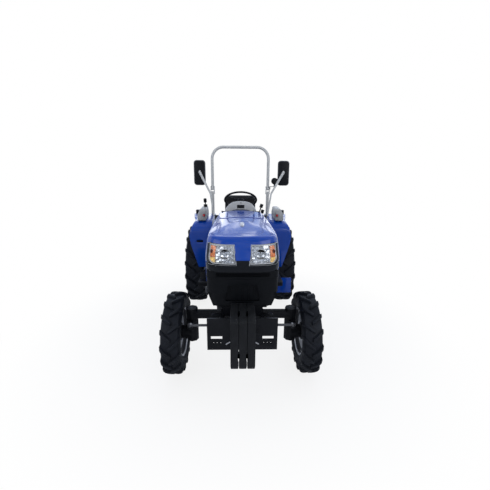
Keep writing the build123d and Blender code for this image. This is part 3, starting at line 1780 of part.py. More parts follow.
def fender():
    """Left fender: a strip over the wheel, its inner wall and a lip along the outer edge."""
    radii = [0, fender_round, fender_round, 0]
    wide = (fender_inner_x, fender_outer_x)
    outer = soft_slab_x(fender_path(0), radii, wide)
    well = (fender_inner_x - overrun, fender_outer_x + overrun)
    low = [(y, z) for y, z in fender_path(fender_wall)]
    low[0] = (fender_front_y + fender_wall, fender_toe_z - overrun)
    low[-1] = (fender_rear_y - fender_wall, fender_rear_z - overrun)
    inner_radii = [0, fender_round - fender_wall, fender_round - fender_wall, 0]
    lip_x = (fender_inner_x + fender_wall, fender_outer_x - fender_wall)
    cavity = soft_slab_x(low, inner_radii, lip_x)
    below = [(fender_front_y - overrun, fender_toe_z), (fender_rear_y + overrun, fender_rear_z)]
    under = slab_x(
        [
            (below[0][0], below[0][1]),
            (below[1][0], below[1][1]),
            (below[1][0], below[0][1] - overrun),
            (below[0][0], below[0][1] - overrun),
        ],
        well,
    )
    mouth = fender_path(fender_lip)
    mouth[0] = (fender_front_y + fender_lip, fender_toe_z - overrun)
    mouth[-1] = (fender_rear_y - fender_lip, fender_rear_z - overrun)
    mouth_radii = [0, fender_round - fender_lip, fender_round - fender_lip, 0]
    opening = soft_slab_x(mouth, mouth_radii, (lip_x[0], well[1]))
    shell = outer - cavity - opening - under
    slant = [
        (fender_toe_outer_x, fender_toe_z - overrun),
        (fender_outer_x + overrun, fender_top_z - fender_round),
        (fender_outer_x + overrun, fender_toe_z - overrun),
    ]
    shell -= slab_y(slant, (fender_front_y - overrun, rear_axle_y - rear_tyre_radius + fender_slant_depth))
    post = rops_outer_x + free_gap
    pocket = (rops_outer_x - 2 * rops_tube_radius - free_gap, post)
    shell -= block(
        pocket,
        (rops_y - rops_tube_radius - free_gap, rops_y + rops_tube_radius + free_gap),
        (fender_rear_z, fender_top_z + overrun),
    )
    inner_wall = (fender_inner_x, fender_inner_x + fender_wall)
    shell += block(
        inner_wall,
        (fender_front_y + fender_web_inset, fender_flat_rear_y),
        (floor_z, fender_rear_z),
    )
    foot_z = (rear_tyre_radius + trumpet_outer_radius / 2, floor_z)
    foot_y = (rear_axle_y - trumpet_outer_radius, rear_axle_y - seat_gap)
    shell += block(inner_wall, foot_y, foot_z)
    shell += block(
        (fender_inner_x, fender_inner_x + fender_foot_width),
        foot_y,
        (floor_z - fender_foot_height, floor_z),
    )
    return shell - trumpet_form(seat_gap)


def fender_handle():
    """Slot for the hand in the front of the right fender."""
    x = (-handle_outer_x, -handle_outer_x + handle_width)
    return block(
        x,
        (fender_front_y - overrun, fender_front_top_y + overrun),
        (handle_bottom_z, handle_bottom_z + handle_height),
    )


def footboard():
    """Left floor plate from the gearbox out, turned down at its edges."""
    z = (floor_z - floor_thickness, floor_z)
    plate = block((gearbox_half_width, floor_outer_x), (floor_front_y, fender_front_y - seat_gap), z)
    skirt = block(
        (gearbox_half_width, floor_outer_x),
        (floor_front_y - floor_thickness, floor_front_y),
        (floor_z - floor_skirt, floor_z),
    )
    return plate + skirt


def mounting_step():
    """Step box below the left floor, open at the back."""
    top = floor_z - floor_thickness - seat_gap
    side = [
        (step_front_y, top),
        (step_front_y, step_bottom_z),
        (step_rear_y, step_bottom_z),
        (step_rear_y, step_bottom_z + step_wall),
    ]
    inner = [(step_front_y + step_wall, step_bottom_z + step_wall), (step_front_y + step_wall, top)]
    outline = side + inner
    return slab_x(outline, (step_inner_x, step_outer_x))


def console():
    """Left console on the fender's top."""
    x0 = console_inner_x
    x1 = console_outer_x
    top = console_top_z
    base = fender_top_z + seat_gap
    face = [(x0, base), (x1, base), (x1, base + (top - base) / 2), (x1 - (x1 - x0) / 3, top), (x0, top)]
    side = [
        (console_front_y, base),
        (console_rear_y, base),
        (console_rear_y, base + (top - base) / 2),
        (console_rear_y - console_slope, top),
        (console_front_y + console_slope / 4, top),
        (console_front_y, top - console_slope / 4),
    ]
    return slab_y(face, (console_front_y, console_rear_y)) & slab_x(side, (x0 - overrun, x1 + overrun))


marker_width = 28.0
marker_height = 32.0
marker_depth = 10.0
marker_drop = 60.0
tail_lamp_inset = 24.0
tail_lamp_width = 90.0
tail_lamp_height = 54.0
tail_lamp_depth = 60.0


def fender_lamps():
    """Small marker lamps on the front of the consoles and tail lamps on the fenders."""
    top = console_top_z - marker_drop
    x = (console_inner_x + marker_depth, console_inner_x + marker_depth + marker_width)
    y = (console_front_y - seat_gap - marker_depth, console_front_y - seat_gap)
    marker = block(x, y, (top - marker_height, top))
    outer = fender_outer_x - tail_lamp_inset
    rear = fender_flat_rear_y - tail_lamp_inset
    z = (fender_top_z + seat_gap, fender_top_z + seat_gap + tail_lamp_height)
    tail = block((outer - tail_lamp_width, outer), (rear - tail_lamp_depth, rear), z)
    return both(marker) + both(tail)


# Roll-over bar, mirrors and lamps

rops_fold_rise = 1035.0
rops_fold_z = rear_tyre_radius + rops_fold_rise
rops_top_rise = 1594.0
rops_top_z = rear_tyre_radius + rops_top_rise
rops_corner = 150.0
rops_corner_steps = 5
rops_post_depth = 44.0
rops_ear_thickness = 8.0
rops_weld_half = 17.1
rops_ear_height = 70.0
rops_pin_radius = 8.0
rops_foot_step = 12.0
rops_foot_rise = 40.0
mirror_half_width = 66.0
mirror_lift = 334.0
mirror_low_z = firewall_top_z + mirror_lift
mirror_height = 275.0
mirror_high_z = mirror_low_z + mirror_height
mirror_left_x = 478.0
mirror_right_x = 460.0
mirror_thickness = 34.0
mirror_round = 26.0
mirror_arm_width = 26.0
mirror_arm_thickness = 9.0
mirror_foot_x = 306.0
mirror_foot_drop = 10.0
mirror_foot_z = firewall_top_z - mirror_foot_drop
mirror_bend_x = 342.0
mirror_bend_rise = 252.0
mirror_bend_z = mirror_foot_z + mirror_bend_rise
mirror_tip_share = 0.55636
mirror_tip_z = mirror_low_z + mirror_tip_share * mirror_height
work_lamp_radius = 44.0
work_lamp_length = 60.0
work_lamp_x = 462.0
work_lamp_lift = 106.0
work_lamp_z = rops_fold_z + work_lamp_lift
work_lamp_run = 20.0
work_lamp_y = rear_axle_y + work_lamp_run
lamp_bracket_width = 20.0
lamp_bracket_reach = 40.0
lamp_bracket_thickness = 5.0


def rops_hoop():
    """Folding hoop of round tube with an eye plate at each foot."""
    x = rops_outer_x - rops_tube_radius
    foot = rops_fold_z
    top = rops_top_z - rops_tube_radius
    r = rops_tube_radius
    bend = [90 / rops_corner_steps * (step + 1 / 2) for step in range(rops_corner_steps)]
    swing = rops_corner / cos(radians(90 / rops_corner_steps / 2))
    arc = [(swing * cos(radians(turn)), swing * sin(radians(turn))) for turn in bend]
    right = [(x - rops_corner + across, top - rops_corner + up) for across, up in arc]
    left = [(-across, up) for across, up in reversed(right)]
    profile = [(x, foot)] + right + left + [(-x, foot)]
    hoop = flat_tube([(across, rops_y, up) for across, up in profile], r)
    for side in (-1, 1):
        hoop += cast_bar((side * x - r, rops_y, foot), (side * x + r, rops_y, foot), r)
    for side in (-1, 1):
        ends = (side * x - r - overrun, side * x + r + overrun)
        hoop -= rod((ends[0], rops_y, foot), (ends[1], rops_y, foot), rops_pin_radius + running_gap)
    return hoop


def rops_post():
    """Left post from the axle trumpet up to the fold hinge, with ears and pin."""
    x = rops_outer_x - rops_tube_radius
    half = rops_tube_radius
    low = rear_tyre_radius + trumpet_outer_radius + seat_gap
    y = (rops_y - rops_post_depth / 2, rops_y + rops_post_depth / 2)
    post_top = rops_fold_z - rops_ear_height / 2 - seat_gap
    post = block((x - half, x + half), y, (low, post_top))
    saddle_y = (rear_axle_y + seat_gap, rops_y + rops_post_depth / 2 + rops_foot_step)
    saddle = block(
        (x - half, x + half),
        saddle_y,
        (rear_tyre_radius + trumpet_outer_radius / 2, low + rops_foot_rise),
    )
    post += saddle - trumpet_form(seat_gap)
    ear_z = (post_top - rops_ear_height / 2, rops_fold_z + rops_ear_height / 2)
    gap = half + seat_gap
    for side in (-1, 1):
        near = x + side * gap
        far = x + side * (gap + rops_ear_thickness)
        post += block((min(near, far), max(near, far)), y, ear_z)
        post += block(
            (min(near, x + side * rops_weld_half), max(near, x + side * rops_weld_half)),
            y,
            (ear_z[0], post_top),
        )
    reach = gap + rops_ear_thickness
    post += rod((x - reach, rops_y, rops_fold_z), (x + reach, rops_y, rops_fold_z), rops_pin_radius)
    return post


def mirror_arm(side):
    """Flat bent bar from the firewall's corner up to the mirror head."""
    head_x = mirror_left_x if side > 0 else mirror_right_x
    half = mirror_arm_width / 2
    points = [
        (side * (mirror_foot_x - half), mirror_foot_z),
        (side * (mirror_foot_x + half), mirror_foot_z),
        (side * (mirror_bend_x + half), mirror_bend_z),
        (side * (head_x + half), mirror_tip_z - half),
        (side * (head_x - half), mirror_tip_z + half),
        (side * (mirror_bend_x - half), mirror_bend_z + half),
    ]
    return slab_y(
        points,
        (dash_front_y - firewall_thickness - mirror_arm_thickness, dash_front_y - firewall_thickness),
    )


def mirror_head(side):
    """Mirror housing, a rounded upright block behind the arm's tip."""
    centre = side * (mirror_left_x if side > 0 else mirror_right_x)
    w = mirror_half_width
    face = [
        (centre - w, mirror_low_z),
        (centre + w, mirror_low_z),
        (centre + w, mirror_high_z),
        (centre - w, mirror_high_z),
    ]
    y = dash_front_y - firewall_thickness + seat_gap
    return soft_slab_y(face, mirror_round, (y, y + mirror_thickness))


def work_lamp():
    """Round work lamp on a bracket outside the left post."""
    front = work_lamp_y - work_lamp_length / 2
    body = cast_bar(
        (work_lamp_x, front, work_lamp_z),
        (work_lamp_x, front + work_lamp_length, work_lamp_z),
        work_lamp_radius,
        16,
    )
    seat_x = rops_outer_x + rops_ear_thickness + 2 * seat_gap
    shelf_top = rops_fold_z + rops_ear_height / 2
    shelf_y = (work_lamp_y - lamp_bracket_width / 2, work_lamp_y + lamp_bracket_reach)
    shelf_x = (seat_x, work_lamp_x + lamp_bracket_width / 2)
    shelf = block(shelf_x, shelf_y, (shelf_top - lamp_bracket_thickness, shelf_top))
    tang = block(
        (seat_x, seat_x + lamp_bracket_thickness),
        shelf_y,
        (shelf_top - lamp_bracket_reach, shelf_top),
    )
    stem_x = (work_lamp_x - lamp_bracket_width / 2, work_lamp_x + lamp_bracket_width / 2)
    stem_y = (work_lamp_y - lamp_bracket_width / 2, work_lamp_y + lamp_bracket_width / 2)
    return body + shelf + tang + block(stem_x, stem_y, (shelf_top, work_lamp_z))


def build():
    """Write every node."""
    os.makedirs("parts", exist_ok=True)

    front_tyre = tyre(
        front_tyre_radius, front_tyre_width, front_bead_radius, front_rim_width, front_lug_height,
        front_lug_thickness, front_lug_sweep, front_lugs_per_side,
    )
    rear_tyre = tyre(
        rear_tyre_radius, rear_tyre_width, rear_bead_radius, rear_rim_width, rear_lug_height,
        rear_lug_thickness, rear_lug_sweep, rear_lugs_per_side,
    )
    front_disc_at = hub_face_x + seat_gap + hub_flange_width - front_half_track
    front_sides = int(facets_per_lug * front_lugs_per_side)
    front_rim = rim(front_bead_radius, front_rim_width, front_disc_at, hub_flange_radius, front_sides)
    rear_sides = int(facets_per_lug * rear_lugs_per_side)
    rear_rim = rim(rear_bead_radius, rear_rim_width, rear_disc_at, rear_flange_radius, rear_sides)
    front_place = Pos(front_half_track, front_axle_y, front_tyre_radius)
    rear_place = Pos(rear_half_track, rear_axle_y, rear_tyre_radius)
    wheels = (
        ("front", front_place, front_tyre, front_rim, front_hub()),
        ("rear", rear_place, rear_tyre, rear_rim, rear_hub()),
    )
    for name, place, rubber, metal, hub in wheels:
        left_tyre = place * rubber
        left_rim = place * metal + hub
        save(f"{name}_left_tyre", left_tyre)
        save(f"{name}_right_tyre", mirror(left_tyre, about=Plane.YZ))
        save(f"{name}_left_rim", left_rim)
        save(f"{name}_right_rim", mirror(left_rim, about=Plane.YZ))

    left_knuckle = knuckle()
    save("knuckle_left", left_knuckle)
    save("knuckle_right", mirror(left_knuckle, about=Plane.YZ))
    save("tie_rod", tie_rod())
    save("front_axle", front_axle())
    save("front_frame", front_frame())
    save("weight_bracket", weight_bracket())
    save("front_weights", front_weights())
    save("engine", engine(), fan(), air_cleaner(), exhaust())
    save("radiator_and_battery", radiator(), battery())
    save("transmission", transmission(), drive_tube())
    save("rear_axle", rear_axle())
    save("pto_shaft", pto_shaft())
    save("lower_links", both(lower_link()))
    save("lift_arms", lift_arms())
    save("lift_rods", both(lift_rod()))
    save("top_link", top_link())
    save("hitch_mounts", drawbar(), lower_link_pins(), top_link_bracket())
    save("bonnet", bonnet())
    save("lamp_frames", lamp_frames())
    save("headlamps", headlamps())
    save("indicators", indicators())
    save("grille", grille())
    save("side_screens", side_screens())
    save("dash", dash(), steering_column())
    save("firewall", firewall())
    save("steering_wheel", steering_wheel())
    save("seat_cushion", seat_cushion())
    save("seat_back", seat_back())
    save("seat_base", seat_base())
    save("controls", levers(), pedals())
    left_fender, right_fender = both(fender())
    save("fenders", left_fender, right_fender - fender_handle())
    save("footboards", both(footboard()), mounting_step())
    save("consoles", both(console()))
    save("fixed_lamps", fender_lamps(), work_lamp())
    save("rops_hoop", rops_hoop())
    save("rops_posts", both(rops_post()))
    save("mirrors", mirror_arm(-1), mirror_arm(1), mirror_head(-1), mirror_head(1))


build()
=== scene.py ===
# %% [markdown]
# A compact tractor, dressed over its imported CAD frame. The frame brings every rigid node in
# metres, with X to the tractor's left, -Y the front and Z up. Each new piece is modelled where
# the frame says, rides on one of its bodies, and stands for the plain node it replaces.

# %% Load the frame
import bmesh
import bpy
import json
import random
from math import cos, pi, radians, sin
from mathutils import Matrix, Vector

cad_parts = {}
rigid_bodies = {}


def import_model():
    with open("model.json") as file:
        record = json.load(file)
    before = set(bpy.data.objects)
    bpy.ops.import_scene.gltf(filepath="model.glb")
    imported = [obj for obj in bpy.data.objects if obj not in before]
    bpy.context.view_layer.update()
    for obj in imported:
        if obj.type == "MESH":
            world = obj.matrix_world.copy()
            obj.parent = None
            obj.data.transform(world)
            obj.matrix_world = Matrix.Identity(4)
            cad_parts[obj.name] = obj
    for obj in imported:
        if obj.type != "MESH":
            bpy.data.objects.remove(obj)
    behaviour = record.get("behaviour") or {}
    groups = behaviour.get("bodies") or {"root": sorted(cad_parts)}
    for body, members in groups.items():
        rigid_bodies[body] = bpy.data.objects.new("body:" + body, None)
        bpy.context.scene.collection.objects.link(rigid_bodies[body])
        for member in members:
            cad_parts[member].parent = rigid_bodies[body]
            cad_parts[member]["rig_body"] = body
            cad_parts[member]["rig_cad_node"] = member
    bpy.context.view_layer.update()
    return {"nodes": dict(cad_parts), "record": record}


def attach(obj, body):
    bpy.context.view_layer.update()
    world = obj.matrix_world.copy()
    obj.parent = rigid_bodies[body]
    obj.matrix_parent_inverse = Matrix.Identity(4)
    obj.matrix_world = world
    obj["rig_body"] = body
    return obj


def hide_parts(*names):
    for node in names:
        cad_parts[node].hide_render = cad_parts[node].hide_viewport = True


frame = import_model()

# %% [markdown]
# The photograph was taken from in front and a little above. The camera's height, distance,
# tilt and lens come from fitting the tyres, the roll hoop and the bonnet, so the render can be
# laid over the photograph. The matrix is built from the direction the camera looks in.

# %% Camera
MM = 0.001
camera_place = Vector((-0.041, -3.329, 1.819))
camera_pitch, camera_yaw, camera_roll = 0.247, 0.027, -0.008
camera_lens = 22.08

flat_part = cos(camera_pitch)
ahead = Vector((sin(camera_yaw) * flat_part, cos(camera_yaw) * flat_part, -sin(camera_pitch)))
level = Vector((cos(camera_yaw), -sin(camera_yaw), 0))
upward = level.cross(ahead)
right = level * cos(camera_roll) - upward * sin(camera_roll)
upward = level * sin(camera_roll) + upward * cos(camera_roll)
bpy.ops.object.camera_add()
camera = bpy.context.object
camera.name = "photo_camera"
columns = Matrix((right, upward, -ahead)).transposed().to_4x4()
camera.matrix_world = Matrix.Translation(camera_place) @ columns
camera.data.lens = camera_lens
camera.data.sensor_width = 36.0
camera.data.clip_start = 0.05
bpy.context.scene.camera = camera
bpy.context.scene.view_settings.view_transform = "Standard"
print("camera at", tuple(round(v, 3) for v in camera_place))

# %% [markdown]
# Helpers for modelling by hand. Every operator works on what is selected, so each helper first
# clears the selection. A finished piece keeps its place in its mesh, with its object at the
# origin, so the transform is applied as soon as a primitive has been added. Points closer than a
# hair are merged, and along a seam between two halves a little more.

# %% Selecting and settling
X, Y, Z = 0, 1, 2
HAIR, SEAM = 0.02, 0.3


def clear_selection():
    """Leaves edit mode and drops the selection."""
    if bpy.context.mode != "OBJECT":
        bpy.ops.object.mode_set(mode="OBJECT")
    bpy.ops.object.select_all(action="DESELECT")


def take(piece, *others):
    """Selects pieces and makes the first the active one."""
    clear_selection()
    for other in others:
        other.select_set(True)
    piece.select_set(True)
    bpy.context.view_layer.objects.active = piece
    return piece


def settle(name):
    """Names the new primitive and moves its place into its mesh."""
    piece = bpy.context.object
    piece.name = name
    bpy.ops.object.transform_apply(location=True, rotation=True, scale=True)
    return piece


def choose_all():
    bpy.ops.mesh.select_all(action="SELECT")


def choose_none(kind="FACE"):
    bpy.ops.mesh.select_mode(type=kind)
    bpy.ops.mesh.select_all(action="DESELECT")


def edit(piece, kind="FACE"):
    """Opens a piece in edit mode with nothing selected."""
    take(piece)
    bpy.ops.object.mode_set(mode="EDIT")
    choose_none(kind)


def leave():
    """Goes back to object mode."""
    bpy.ops.object.mode_set(mode="OBJECT")


def choose(piece, test, kind="FACE"):
    """In edit mode, selects the faces or points whose place and normal pass a test."""
    choose_none(kind)
    form = bmesh.from_edit_mesh(piece.data)
    if kind == "FACE":
        for face in form.faces:
            face.select_set(test(face.calc_center_median() / MM, face.normal))
    else:
        for point in form.verts:
            point.select_set(test(point.co / MM, point.normal))
        form.select_flush(True)
    bmesh.update_edit_mesh(piece.data)


def move(x=0.0, y=0.0, z=0.0):
    bpy.ops.transform.translate(value=(x * MM, y * MM, z * MM))


def scale_about(centre, x=1.0, y=1.0, z=1.0):
    bpy.ops.transform.resize(value=(x, y, z), center_override=[c * MM for c in centre])


def pull(x=0.0, y=0.0, z=0.0):
    """Extrudes what is selected."""
    bpy.ops.mesh.extrude_region_move(TRANSFORM_OT_translate={"value": (x * MM, y * MM, z * MM)})


def slice_at(axis, at):
    """Cuts new edges through the whole piece across an axis, as the bisect tool does."""
    normal = [0, 0, 0]
    normal[axis] = 1
    choose_all()
    bpy.ops.mesh.bisect(plane_co=[n * at * MM for n in normal], plane_no=normal)


def weld(gap=HAIR):
    """Merges points closer than a gap and turns every face outwards."""
    choose_all()
    bpy.ops.mesh.remove_doubles(threshold=gap * MM)
    bpy.ops.mesh.normals_make_consistent(inside=False)


def face_outwards(piece, gap=HAIR):
    edit(piece)
    weld(gap)
    leave()


# %% [markdown]
# Four ways to start a piece: a box, a round bar between two points, an outline drawn corner by
# corner and pushed to a thickness, and a shape turned about the wheel axis ring by ring. Sizes
# are typed in millimetres, and the helpers turn them into metres.


# %% Starting shapes
def box(name, low, high):
    clear_selection()
    centre = [(a + b) / 2 * MM for a, b in zip(low, high)]
    size = [(b - a) * MM for a, b in zip(low, high)]
    bpy.ops.mesh.primitive_cube_add(size=1, location=centre, scale=size)
    return settle(name)


def bar(name, start, end, radius, sides=32):
    clear_selection()
    start, end = Vector(start) * MM, Vector(end) * MM
    along = end - start
    turn = along.to_track_quat("Z", "Y").to_euler()
    bpy.ops.mesh.primitive_cylinder_add(
        vertices=sides, radius=radius * MM, depth=along.length, location=(start + end) / 2, rotation=turn
    )
    return settle(name)


def draw_on(corners):
    """Extrudes the selected point from corner to corner."""
    for here, after in zip(corners, corners[1:]):
        step = (Vector(after) - Vector(here)) * MM
        bpy.ops.mesh.extrude_vertices_move(TRANSFORM_OT_translate={"value": step})


def chain(name, corners):
    """Open line of points, drawn corner by corner. It stays in edit mode, all selected."""
    clear_selection()
    bpy.ops.mesh.primitive_plane_add(size=1)
    piece = settle(name)
    edit(piece, "VERT")
    choose_all()
    bpy.ops.mesh.merge(type="CENTER")
    choose_all()
    move(*corners[0])
    draw_on(corners)
    choose_all()
    return piece


def drawn(name, corners, push):
    """Closed outline, filled and pushed to a thickness."""
    piece = chain(name, corners)
    bpy.ops.mesh.edge_face_add()
    pull(*push)
    leave()
    face_outwards(piece)
    return piece


def on_side(side, outline):
    """Outline on the left side, or mirrored to the right one."""
    return [(side * x, other) for x, other in outline]


def prism(name, outline, near, far):
    """Outline of (x, z) pairs as a slab between two depths."""
    return drawn(name, [(x, near, z) for x, z in outline], (0, far - near, 0))


def turned(name, centre, rings, sides=96, closed=True):
    """Shape turned about a line along X, from rings of (distance along X, radius)."""
    clear_selection()
    bpy.ops.mesh.primitive_circle_add(vertices=sides, radius=rings[0][1] * MM, rotation=(0, pi / 2, 0))
    piece = settle(name)
    edit(piece, "VERT")
    choose_all()
    move(rings[0][0])
    for (along, radius), (next_along, next_radius) in zip(rings, rings[1:]):
        pull(next_along - along)
        share = next_radius / radius
        scale_about((0, 0, 0), y=share, z=share)
    if closed:
        choose_none("EDGE")
        bpy.ops.mesh.select_non_manifold()
        bpy.ops.mesh.bridge_edge_loops()
    weld()
    move(*centre)
    leave()
    return piece


# %% [markdown]
# Finishing. A bevel modifier breaks every sharp edge, because real edges catch a line of light,
# and smooth shading by angle keeps the flats flat. A boolean cuts windows and holes. A copy is
# turned or mirrored with its own mesh.


# %% Finishing moves
def apply_modifier(piece, modifier):
    take(piece)
    bpy.ops.object.modifier_apply(modifier=modifier.name)


def smooth(piece, angle):
    take(piece)
    bpy.ops.object.shade_smooth_by_angle(angle=radians(angle))
    return piece


def soften(piece, width, segments=2, angle=30, smooth_angle=40):
    """Bevels the sharp edges and shades the piece smooth by angle."""
    modifier = piece.modifiers.new("edges", "BEVEL")
    modifier.width = width * MM
    modifier.segments = segments
    modifier.limit_method = "ANGLE"
    modifier.angle_limit = radians(angle)
    apply_modifier(piece, modifier)
    return smooth(piece, smooth_angle)


def subdivide_surface(piece, levels):
    modifier = piece.modifiers.new("smooth", "SUBSURF")
    modifier.levels = levels
    modifier.render_levels = levels
    apply_modifier(piece, modifier)
    return piece


def thicken(piece, thickness, offset=-1.0):
    modifier = piece.modifiers.new("wall", "SOLIDIFY")
    modifier.thickness = thickness * MM
    modifier.offset = offset
    modifier.use_even_offset = True
    apply_modifier(piece, modifier)
    return piece


def cut(piece, tool, how="DIFFERENCE"):
    modifier = piece.modifiers.new("cut", "BOOLEAN")
    modifier.operation = how
    modifier.solver = "EXACT"
    modifier.object = tool
    apply_modifier(piece, modifier)
    bpy.data.objects.remove(tool)
    return piece


def turn_out(piece):
    """Turns every face outwards, as a mirror leaves them inside out."""
    edit(piece)
    choose_all()
    bpy.ops.mesh.normals_make_consistent(inside=False)
    leave()


def join(name, pieces):
    take(pieces[0], *pieces[1:])
    bpy.ops.object.join()
    joined = bpy.context.object
    joined.name = name
    return joined


def another(piece, name):
    """A copy with its own mesh, selected."""
    take(piece)
    bpy.ops.object.duplicate()
    copied = bpy.context.object
    copied.name = name
    return copied


def mirrored(piece, name):
    """A copy on the other side of the tractor."""
    copied = another(piece, name)
    bpy.ops.transform.mirror(constraint_axis=(True, False, False), center_override=(0, 0, 0))
    bpy.ops.object.transform_apply(location=True, rotation=True, scale=True)
    turn_out(copied)
    return copied


def dress(piece, look):
    piece.data.materials.clear()
    piece.data.materials.append(look)
    return piece


def dress_chosen(piece, look, test):
    """Gives a second finish to the faces that pass a test."""
    piece.data.materials.append(look)
    piece.active_material_index = 1
    edit(piece)
    choose(piece, test)
    bpy.ops.object.material_slot_assign()
    leave()


def mount_on(piece, body, slot, *nodes):
    """Rides a finished piece on a body and lets it stand for nodes."""
    clear_selection()
    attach(piece, body)
    if nodes:
        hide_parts(*nodes)
    print("made", piece.name, "with", len(piece.data.polygons), "faces")
    return piece


def mount_joined(name, pieces, look, body, slot, *nodes):
    """Joins pieces into one, gives it a finish and mounts it."""
    return mount_on(dress(join(name, pieces), look), body, slot, *nodes)


# %% [markdown]
# Finishes are node materials on Object coordinates, so their grain has a real size and stays
# put on a moving piece. Each has a colour that varies a little, a roughness that varies with
# it, and a bump for grain or orange peel. One number per look keeps them easy to tune.


# %% Material maker
def new_node(tree, kind, inputs=None, **settings):
    """Adds a shader node, with values for its inputs and for its own settings."""
    made = tree.nodes.new("ShaderNode" + kind)
    for name, value in settings.items():
        setattr(made, name, value)
    for name, value in (inputs or {}).items():
        made.inputs[name].default_value = value
    return made


def wire(tree, source, result, target, socket):
    tree.links.new(source.outputs[result], target.inputs[socket])


def ramp(made, *stops):
    """Sets the two stops of a colour ramp, each a position and a colour."""
    for stop, (position, colour) in zip(made.color_ramp.elements, stops):
        stop.position = position
        stop.color = colour


DUST = (0.28, 0.25, 0.21, 1)
DUST_TOP = 0.7
GLOSS_SWING = 0.08
GRAIN_DEPTH = 0.001


def finish(name, colour, rough, metal=0.0, spread=0.15, patch=9.0, grain=900.0, bump=0.08, coat=0.0,
           dust=0.0, shine=0.5):
    """Principled material with patchy colour and roughness, and fine grain."""
    material = bpy.data.materials.new(name)
    material.use_nodes = True
    tree = material.node_tree
    shader = tree.nodes["Principled BSDF"]
    for socket, value in (("Metallic", metal), ("Coat Weight", coat), ("Specular IOR Level", shine),
                          ("Coat Roughness", 0.06)):
        shader.inputs[socket].default_value = value
    place = new_node(tree, "TexCoord")
    patches = new_node(tree, "TexNoise", {"Scale": patch, "Detail": 6.0})
    wire(tree, place, "Object", patches, "Vector")

    tint = new_node(tree, "ValToRGB")
    ramp(tint, (0.3, [c * (1 - spread) for c in colour] + [1]),
         (0.7, [min(1.0, c * (1 + spread)) for c in colour] + [1]))
    wire(tree, patches, "Fac", tint, "Fac")
    if dust:
        height = new_node(tree, "SeparateXYZ")
        wire(tree, place, "Object", height, "Vector")
        low = new_node(tree, "MapRange", {"From Min": DUST_TOP, "From Max": 0.0, "To Max": dust})
        wire(tree, height, "Z", low, "Value")
        mixed = new_node(tree, "Mix", {"B": DUST}, data_type="RGBA")
        wire(tree, low, "Result", mixed, "Factor")
        wire(tree, tint, "Color", mixed, "A")
        wire(tree, mixed, "Result", shader, "Base Color")
    else:
        wire(tree, tint, "Color", shader, "Base Color")

    smoothest, roughest = max(0.02, rough - GLOSS_SWING), min(1.0, rough + GLOSS_SWING)
    gloss = new_node(tree, "MapRange", {"To Min": smoothest, "To Max": roughest})
    wire(tree, patches, "Fac", gloss, "Value")
    wire(tree, gloss, "Result", shader, "Roughness")
    if bump:
        fine = new_node(tree, "TexNoise", {"Scale": grain, "Detail": 3.0})
        wire(tree, place, "Object", fine, "Vector")
        relief = new_node(tree, "Bump", {"Strength": bump, "Distance": GRAIN_DEPTH})
        wire(tree, fine, "Fac", relief, "Height")
        wire(tree, relief, "Normal", shader, "Normal")
    return material

# %% [markdown]
# The finishes of this tractor: a clear-coated blue, satin greys, black moulded plastic with a
# fine grain, rough castings, worn rubber with a little dust low down, and bare steel.

# %% Finishes
blue_paint = finish("blue_paint", (0.002, 0.034, 0.235), 0.2, spread=0.06, patch=3.0, grain=260.0,
                    bump=0.008, coat=0.4, shine=0.2)
light_grey_paint = finish("light_grey_paint", (0.36, 0.365, 0.36), 0.42, spread=0.05, grain=500.0,
                          bump=0.0, shine=0.4)
silver_paint = finish("silver_paint", (0.5, 0.51, 0.53), 0.34, metal=0.5, spread=0.06, bump=0.03, coat=0.2)
# Near black: painted shade for the inside of the wheel rims, which are silver there too.
rim_inside = finish("rim_inside", (0.03, 0.031, 0.034), 0.5, spread=0.2, patch=14.0, grain=600.0,
                    bump=0.1, shine=0.2)
black_paint = finish("black_paint", (0.006, 0.0065, 0.008), 0.36, spread=0.25, grain=420.0, bump=0.05,
                     shine=0.12)
dark_casting = finish("dark_casting", (0.007, 0.0075, 0.009), 0.46, spread=0.3, patch=22.0, grain=520.0,
                      bump=0.35, dust=0.015, shine=0.12)
engine_iron = finish("engine_iron", (0.02, 0.021, 0.024), 0.5, spread=0.3, patch=20.0, grain=480.0,
                     bump=0.35, shine=0.15)
weight_iron = finish("weight_iron", (0.006, 0.0065, 0.0075), 0.38, spread=0.25, patch=18.0, grain=430.0,
                     bump=0.4, dust=0.012, shine=0.15)
tyre_rubber = finish("tyre_rubber", (0.007, 0.0085, 0.012), 0.5, spread=0.25, patch=14.0, grain=700.0,
                     bump=0.2, dust=0.015, shine=0.1)
black_plastic = finish("black_plastic", (0.005, 0.0055, 0.007), 0.36, patch=6.0, grain=1400.0, shine=0.1)
frame_plastic = finish("dark_gloss_plastic", (0.006, 0.007, 0.009), 0.26, spread=0.12, patch=8.0,
                       grain=1200.0, bump=0.04, shine=0.12)
grey_plastic = finish("grey_plastic", (0.235, 0.24, 0.245), 0.38, spread=0.08, patch=7.0, grain=1500.0,
                      bump=0.06, shine=0.4)
bright_steel = finish("bright_steel", (0.5, 0.5, 0.51), 0.3, metal=1.0, spread=0.1, patch=30.0, grain=700.0)
dull_steel = finish("dull_steel", (0.10, 0.10, 0.105), 0.42, metal=0.7, spread=0.2, patch=30.0,
                    grain=700.0, bump=0.1)
seat_vinyl = finish("seat_vinyl", (0.006, 0.006, 0.0065), 0.45, patch=12.0, grain=600.0, bump=0.25,
                    shine=0.15)

